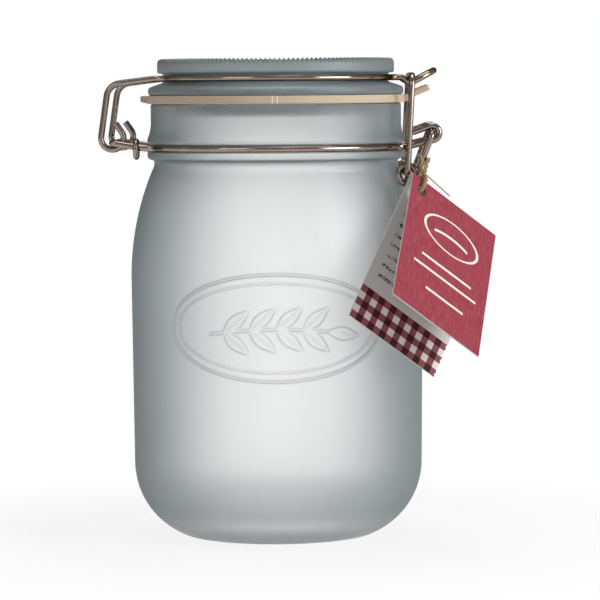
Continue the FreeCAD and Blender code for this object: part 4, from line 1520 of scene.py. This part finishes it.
# ---------------------------------------------------------------- twine
@dataclass
class TwineTie:
    """Two-ply twine: a loop round the latch arm, a knot, a loop through the tag, and two loose ends.

    Millimetres.

    Attributes:
        place: where the tag hangs.
        pivot: the lever's pivot on the neck wire's ears, in the jar's middle plane.
        pin: the link's pin in the lever's eyes, in the same plane.
        lever_half: from that plane to the middle of the near latch arm.
        wire: radius of the latch's wire.
        eye: from a pin to the middle of the wire round it.
        twine: radius of the twine.
        knot: radius of the knot.
        play: room between the twine and what it passes.
        card: the tag's thickness.
        angle: between the tag's leaves, in degrees.
        ply: radius of one ply.
        lay: from the middle of the twine to the middle of a ply.
        pitch: length of one twist.
        thin_ply: radius of a ply of the frayed ends.
        thin_lay: from their middle to the middle of a ply.
        thin_pitch: length of their twist.
        step: between the points of a run.
    """

    place: TagPlace
    pivot: Vector
    pin: Vector
    lever_half: float = 18.7
    wire: float = 1.15
    eye: float = 3.3
    twine: float = 0.8
    knot: float = 1.7
    play: float = 0.15
    card: float = 0.5
    angle: float = 21.7
    ply: float = 0.5
    lay: float = 0.3
    pitch: float = 4.2
    thin_ply: float = 0.15
    thin_lay: float = 0.1
    thin_pitch: float = 2.6
    step: float = 0.3

    def held(self) -> tuple[Vector, Vector]:
        """Middle of the loop on the near latch arm, and the arm's direction."""
        away = self.pivot - self.pin
        reach = math.hypot(away.x, away.z)
        turn = math.atan2(away.z, away.x) - math.acos(self.eye / reach)
        touch = self.pin + Vector((math.cos(turn), 0, math.sin(turn))) * self.eye
        arm = (touch - self.pivot).normalized()
        above = self.eye + self.wire + self.twine * 2
        reach = (self.pivot.z - self.pin.z - above) / -arm.z
        return self.pivot + arm * reach - Vector((0, self.lever_half, 0)), arm

    def knot_middle(self) -> Vector:
        """Middle of the knot, just over the fold."""
        _, down, _ = self.place.directions()
        return self.place.hole() - down * (self.place.hole_in + self.card * 2 + self.knot + self.play)

    def arm_loop(self) -> list[Vector]:
        """Once round the arm and down to the knot, as a closed teardrop."""
        middle, arm = self.held()
        knot = self.knot_middle()
        radius = self.wire + self.twine + self.play * 0.5
        out = knot - middle
        out = (out - arm * out.dot(arm)).normalized()
        side = arm.cross(out).normalized()
        path = [knot - out * 0.3 + side * 0.4]
        for turn in np.linspace(0.22 * math.pi, 1.78 * math.pi, 22):
            path.append(middle + (out * math.cos(turn) + side * math.sin(turn)) * radius)
        return path + [knot - out * 0.3 - side * 0.4]

    def tag_loop(self) -> list[Vector]:
        """From the knot over the fold, through both leaves and back up behind."""
        _, down, behind = self.place.directions()
        hole, knot = self.place.hole(), self.knot_middle()
        spread = self.card * 2 + self.place.hole_in * math.tan(math.radians(self.angle / 2))
        radius = spread + self.twine + self.play
        low = hole - down * radius
        path = [knot - behind * 0.4]
        path += [knot + down * radius * 0.45 - behind * radius * 0.8]
        for turn in np.linspace(math.pi, 2 * math.pi, 15):
            path.append(low + behind * math.cos(turn) * radius - down * math.sin(turn) * radius)
        path += [knot + down * radius * 0.45 + behind * radius * 0.8]
        return path + [knot + behind * 0.4]

    def knot_path(self) -> list[Vector]:
        """The overhand knot itself, drawn tight."""
        fold, down, behind = self.place.directions()
        middle = self.knot_middle()
        path = []
        for turn in np.linspace(0, 2 * math.pi, 40)[:-1]:
            x = math.sin(turn) + 2 * math.sin(2 * turn)
            y = math.cos(turn) - 2 * math.cos(2 * turn)
            z = -math.sin(3 * turn)
            path.append(middle + fold * x * 0.32 + behind * y * 0.32 + down * z * 0.7)
        return path + path[:1]

    def loose_ends(self) -> list[list[Vector]]:
        """One end lies along the fold, the other sticks up beside the arm."""
        fold, down, behind = self.place.directions()
        start = self.knot_middle()
        along = [start + fold * s + down * (0.1 * s - 0.9) - behind * 0.6 for s in (0.6, 3.0, 6.0, 9.5, 13.0)]
        up = [start - down * s - fold * (0.5 + s * 0.15) - behind * 0.8 for s in (0.5, 2.0, 3.6, 5.2)]
        return [along, up]

    def build(self, finish: bpy.types.Material) -> bpy.types.Object:
        """Lays the twisted plies along every run, and joins them in one piece.

        Args:
            finish: the jute's material.

        Returns:
            The twine.
        """
        tree = self._ply_tree(finish)
        full = {"Ply radius": self.ply * MM, "Lay radius": self.lay * MM, "Pitch": self.pitch * MM}
        thin = {
            "Ply radius": self.thin_ply * MM,
            "Lay radius": self.thin_lay * MM,
            "Pitch": self.thin_pitch * MM,
        }
        runs = [(path, full) for path in (self.arm_loop(), self.tag_loop(), self.knot_path())]
        runs += [(path, thin) for path in self.loose_ends()]
        pieces = []
        for k, (path, numbers) in enumerate(runs):
            path = smooth_path([p * MM for p in path], self.step * MM)
            pieces.append(tree.applied(tube_curve(f"run_{k}", path), f"twine_run_{k}", numbers))
        piece = joined(pieces, "twine_tie", finish)
        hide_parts("twine")
        self.held()[0] * MM
        self.knot_middle() * MM
        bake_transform(piece)
        return piece

    def _ply_tree(self, finish: bpy.types.Material) -> NodeTree:
        """Two plies twisted about the path they follow."""
        tree = NodeTree("twisted_plies")
        ply, lay = tree.number("Ply radius", 0.0005), tree.number("Lay radius", 0.0004)
        pitch = tree.number("Pitch", 0.003)
        length = tree.add("GeometryNodeSplineParameter").outputs["Length"]
        normal = tree.add("GeometryNodeInputNormal").outputs[0]
        tangent = tree.add("GeometryNodeInputTangent").outputs[0]
        across = tree.vector_maths("CROSS_PRODUCT", {0: tangent, 1: normal})
        circle = tree.add("GeometryNodeCurvePrimitiveCircle", inputs={"Resolution": 8, "Radius": ply})
        turns = tree.maths("MULTIPLY", tree.maths("DIVIDE", length, pitch), 2 * math.pi)
        join = tree.add("GeometryNodeJoinGeometry")
        for phase in (0.0, math.pi):
            angle = tree.maths("ADD", turns, phase)
            parts = []
            for way, operation in ((normal, "COSINE"), (across, "SINE")):
                reach = tree.maths("MULTIPLY", tree.maths(operation, angle), lay)
                parts.append(tree.vector_maths("SCALE", {0: way, "Scale": reach}))
            offset = tree.vector_maths("ADD", {0: parts[0], 1: parts[1]})
            moved = tree.add("GeometryNodeSetPosition", inputs={0: tree.start.outputs[0], "Offset": offset})
            tube = tree.add(
                "GeometryNodeCurveToMesh",
                inputs={0: moved.outputs[0], 1: circle.outputs[0], "Fill Caps": True},
            )
            tree.link(tube.outputs[0], join.inputs[0])
        tree.close(join.outputs[0], finish)
        return tree


# ---------------------------------------------------------------- studio
@dataclass(frozen=True)
class SoftLamp:
    """A square soft lamp that faces the jar. Metres and watts."""

    name: str
    place: Vector
    size: float
    power: float

    def build(self, target: Vector) -> None:
        """Hangs the lamp.

        Args:
            target: what it faces.
        """
        light = bpy.data.lights.new(self.name, "AREA")
        light.size = self.size
        light.energy = self.power
        lamp = bpy.data.objects.new(self.name, light)
        bpy.context.scene.collection.objects.link(lamp)
        look = (target - self.place).to_track_quat("-Z", "Y").to_matrix().to_4x4()
        lamp.matrix_world = Matrix.Translation(self.place) @ look


@dataclass
class Studio:
    """A pale floor and backdrop, soft lamps and the camera. Metres.

    Attributes:
        distance: from the camera to the jar's middle plane.
        camera_height: the camera's height.
        aim: the point in the middle of the view.
        lens: focal length, in millimetres.
        film: width of the film, in millimetres.
        roll: the camera's lean, in radians.
        middle: the place that the lamps face.
        around: strength of the light from all round.
        gloss_share: share of the white backdrop that a gloss mirrors.
        floor_reach: from the middle of the floor to its edges.
        floor_colour: the floor where the shadow falls.
        floor_white: share of plain white in the floor near the jar.
        floor_gloss: share of plain white in it that a gloss mirrors.
        shadow_reach: from the jar's axis to where the shadow starts to fade, and then to its end.
    """

    distance: float = 1.184
    camera_height: float = 0.168
    aim: Vector = Vector((0.0084, 0.0, 0.0858))
    lens: float = 192.9
    film: float = 36.0
    roll: float = math.radians(-0.4)
    middle: Vector = Vector((0.0, 0.0, 0.09))
    around: float = 0.24
    gloss_share: float = 0.1
    floor_reach: float = 6.0
    floor_colour: Colour = (0.9, 0.9, 0.9)
    floor_white: float = 0.84
    floor_gloss: float = 0.85
    shadow_reach: float = 0.09

    def build(self) -> None:
        """Sets up the stage, the light and the camera."""
        self._camera()
        self._world()
        self._floor()
        SoftLamp("key", Vector((1.05, -0.6, 0.45)), size=0.75, power=10.5).build(self.middle)
        SoftLamp("fill", Vector((-0.7, -0.9, 0.75)), size=0.6, power=1.9).build(self.middle)
        SoftLamp("top", Vector((0.1, 0.1, 1.3)), size=0.7, power=5.0).build(self.middle)

    def _camera(self) -> None:
        """The view: from the front, level with the lid."""
        lens = bpy.data.cameras.new("camera")
        lens.sensor_width = self.film
        lens.lens = self.lens
        lens.clip_end = 30.0
        camera = bpy.data.objects.new("camera", lens)
        bpy.context.scene.collection.objects.link(camera)
        place = Vector((self.aim.x, -self.distance, self.camera_height))
        look = (self.aim - place).to_track_quat("-Z", "Y").to_matrix().to_4x4()
        camera.matrix_world = Matrix.Translation(place) @ look @ Matrix.Rotation(self.roll, 4, "Z")
        bpy.context.scene.camera = camera

    def _seen(self, bench: Bench, direct: "Term | float", gloss: float) -> Term:
        """Share of the white background that each kind of ray shows.

        Args:
            bench: where the nodes go.
            direct: share straight from the camera.
            gloss: share off a gloss. Through glass it is 1.

        Returns:
            The share.
        """
        node = bench.node("ShaderNodeLightPath")
        outputs = node.socket.node.outputs
        seen = [Term(bench, outputs[f"Is {kind} Ray"]) for kind in ("Camera", "Glossy", "Transmission")]
        return (seen[0] * direct).either(seen[1] * gloss).either(seen[2])

    def _world(self) -> None:
        """White behind the object, and a soft grey light from all round."""
        world = bpy.data.worlds.new("studio")
        world.use_nodes = True
        world.node_tree.nodes.clear()
        bench = Bench(world.node_tree, is_material=False)
        around, behind = (
            bench.node("ShaderNodeBackground", inputs={"Color": (1, 1, 1, 1), "Strength": strength})
            for strength in (self.around, 1.0)
        )
        share = self._seen(bench, 1.0, self.gloss_share)
        bench.finish(bench.node("ShaderNodeMixShader", inputs={0: share, 1: around, 2: behind}))
        bpy.context.scene.world = world

    def _floor(self) -> None:
        """A wide white floor that keeps only the object's soft shadow."""
        bench, made = Bench.material("studio_floor")
        matt = bench.node("ShaderNodeBsdfDiffuse", inputs={"Color": self.floor_colour})
        white = bench.node("ShaderNodeEmission", inputs={"Color": (1, 1, 1, 1), "Strength": 1.0})
        place = bench.place()
        across, deep = bench.axis(place, "X"), bench.axis(place, "Y")
        away = ((across * across + deep * deep) ** 0.5 - self.shadow_reach) / self.shadow_reach
        direct = away.limited() * (1 - self.floor_white) + self.floor_white
        share = self._seen(bench, direct, self.floor_gloss)
        bench.finish(bench.node("ShaderNodeMixShader", inputs={0: share, 1: matt, 2: white}))
        mesh = bpy.data.meshes.new("floor")
        corners = [(x * self.floor_reach, y * self.floor_reach, 0) for x, y in ((-1, -1), (1, -1), (1, 1), (-1, 1))]
        mesh.from_pydata(corners, [], [(0, 1, 2, 3)])
        mesh.materials.append(made)
        new_object("floor", mesh)


# ---------------------------------------------------------------- everything in order
def dress(node: bpy.types.Object, finish: bpy.types.Material) -> None:
    """Gives a frame node its finish in every slot."""
    if not node.material_slots:
        node.data.materials.append(finish)
    for slot in node.material_slots:
        slot.material = finish


def main() -> None:
    """Builds every piece on the frame."""
    logging.basicConfig(level=logging.INFO, format="%(name)s: %(message)s")
    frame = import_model()
    bpy.context.scene.view_settings.view_transform = "Standard"
    Studio().build()

    # Each glass's rim colour below is a painted shade, mixed in where the glass turns away from the view.
    frosted = MouldedGlass(
        "frosted_glass",
        tint=(0.995, 0.995, 0.995),
        painted_rim_shade=(0.19, 0.235, 0.25),
        roughness=0.55,
        rim_power=0.95,
        rim_shade_fade_height=0.012,
    )
    smooth = MouldedGlass(
        "smooth_glass",
        tint=(0.995, 0.997, 0.997),
        painted_rim_shade=(0.55, 0.60, 0.61),
        roughness=0.12,
        rim_power=1.6,
    )
    lid_glass = MouldedGlass(
        "lid_glass",
        tint=(0.42, 0.485, 0.505),
        painted_rim_shade=(0.14, 0.18, 0.195),
        roughness=0.4,
        haze=0.15,
    )
    JarGlass().build(frosted.material(), smooth.material())
    log.info("jar glass built")
    LidGlass().build(lid_glass.material())
    log.info("lid built")
    SealRing().build(MouldedRubber().material())
    log.info("seal built")
    wire = DrawnWire().material()
    for name in ("lid_bail", "neck_wire", "collar", "lever", "link"):
        dress(frame["nodes"][name], wire)
    log.info("wires dressed")

    place = TagPlace(corner=Vector((48.8, -28.1, 132.6)))
    tag = SwingTag(place)
    tag.build(CardPrint("tag", tag.width, tag.length))
    log.info("swing tag built")
    twine = TwineTie(place, pivot=Vector((56.8, 0, 147.3)), pin=Vector((47.6, 0, 132.3)))
    twine.build(TwistedJute().material())
    log.info("twine tied")


if __name__ == "__main__":
    main()
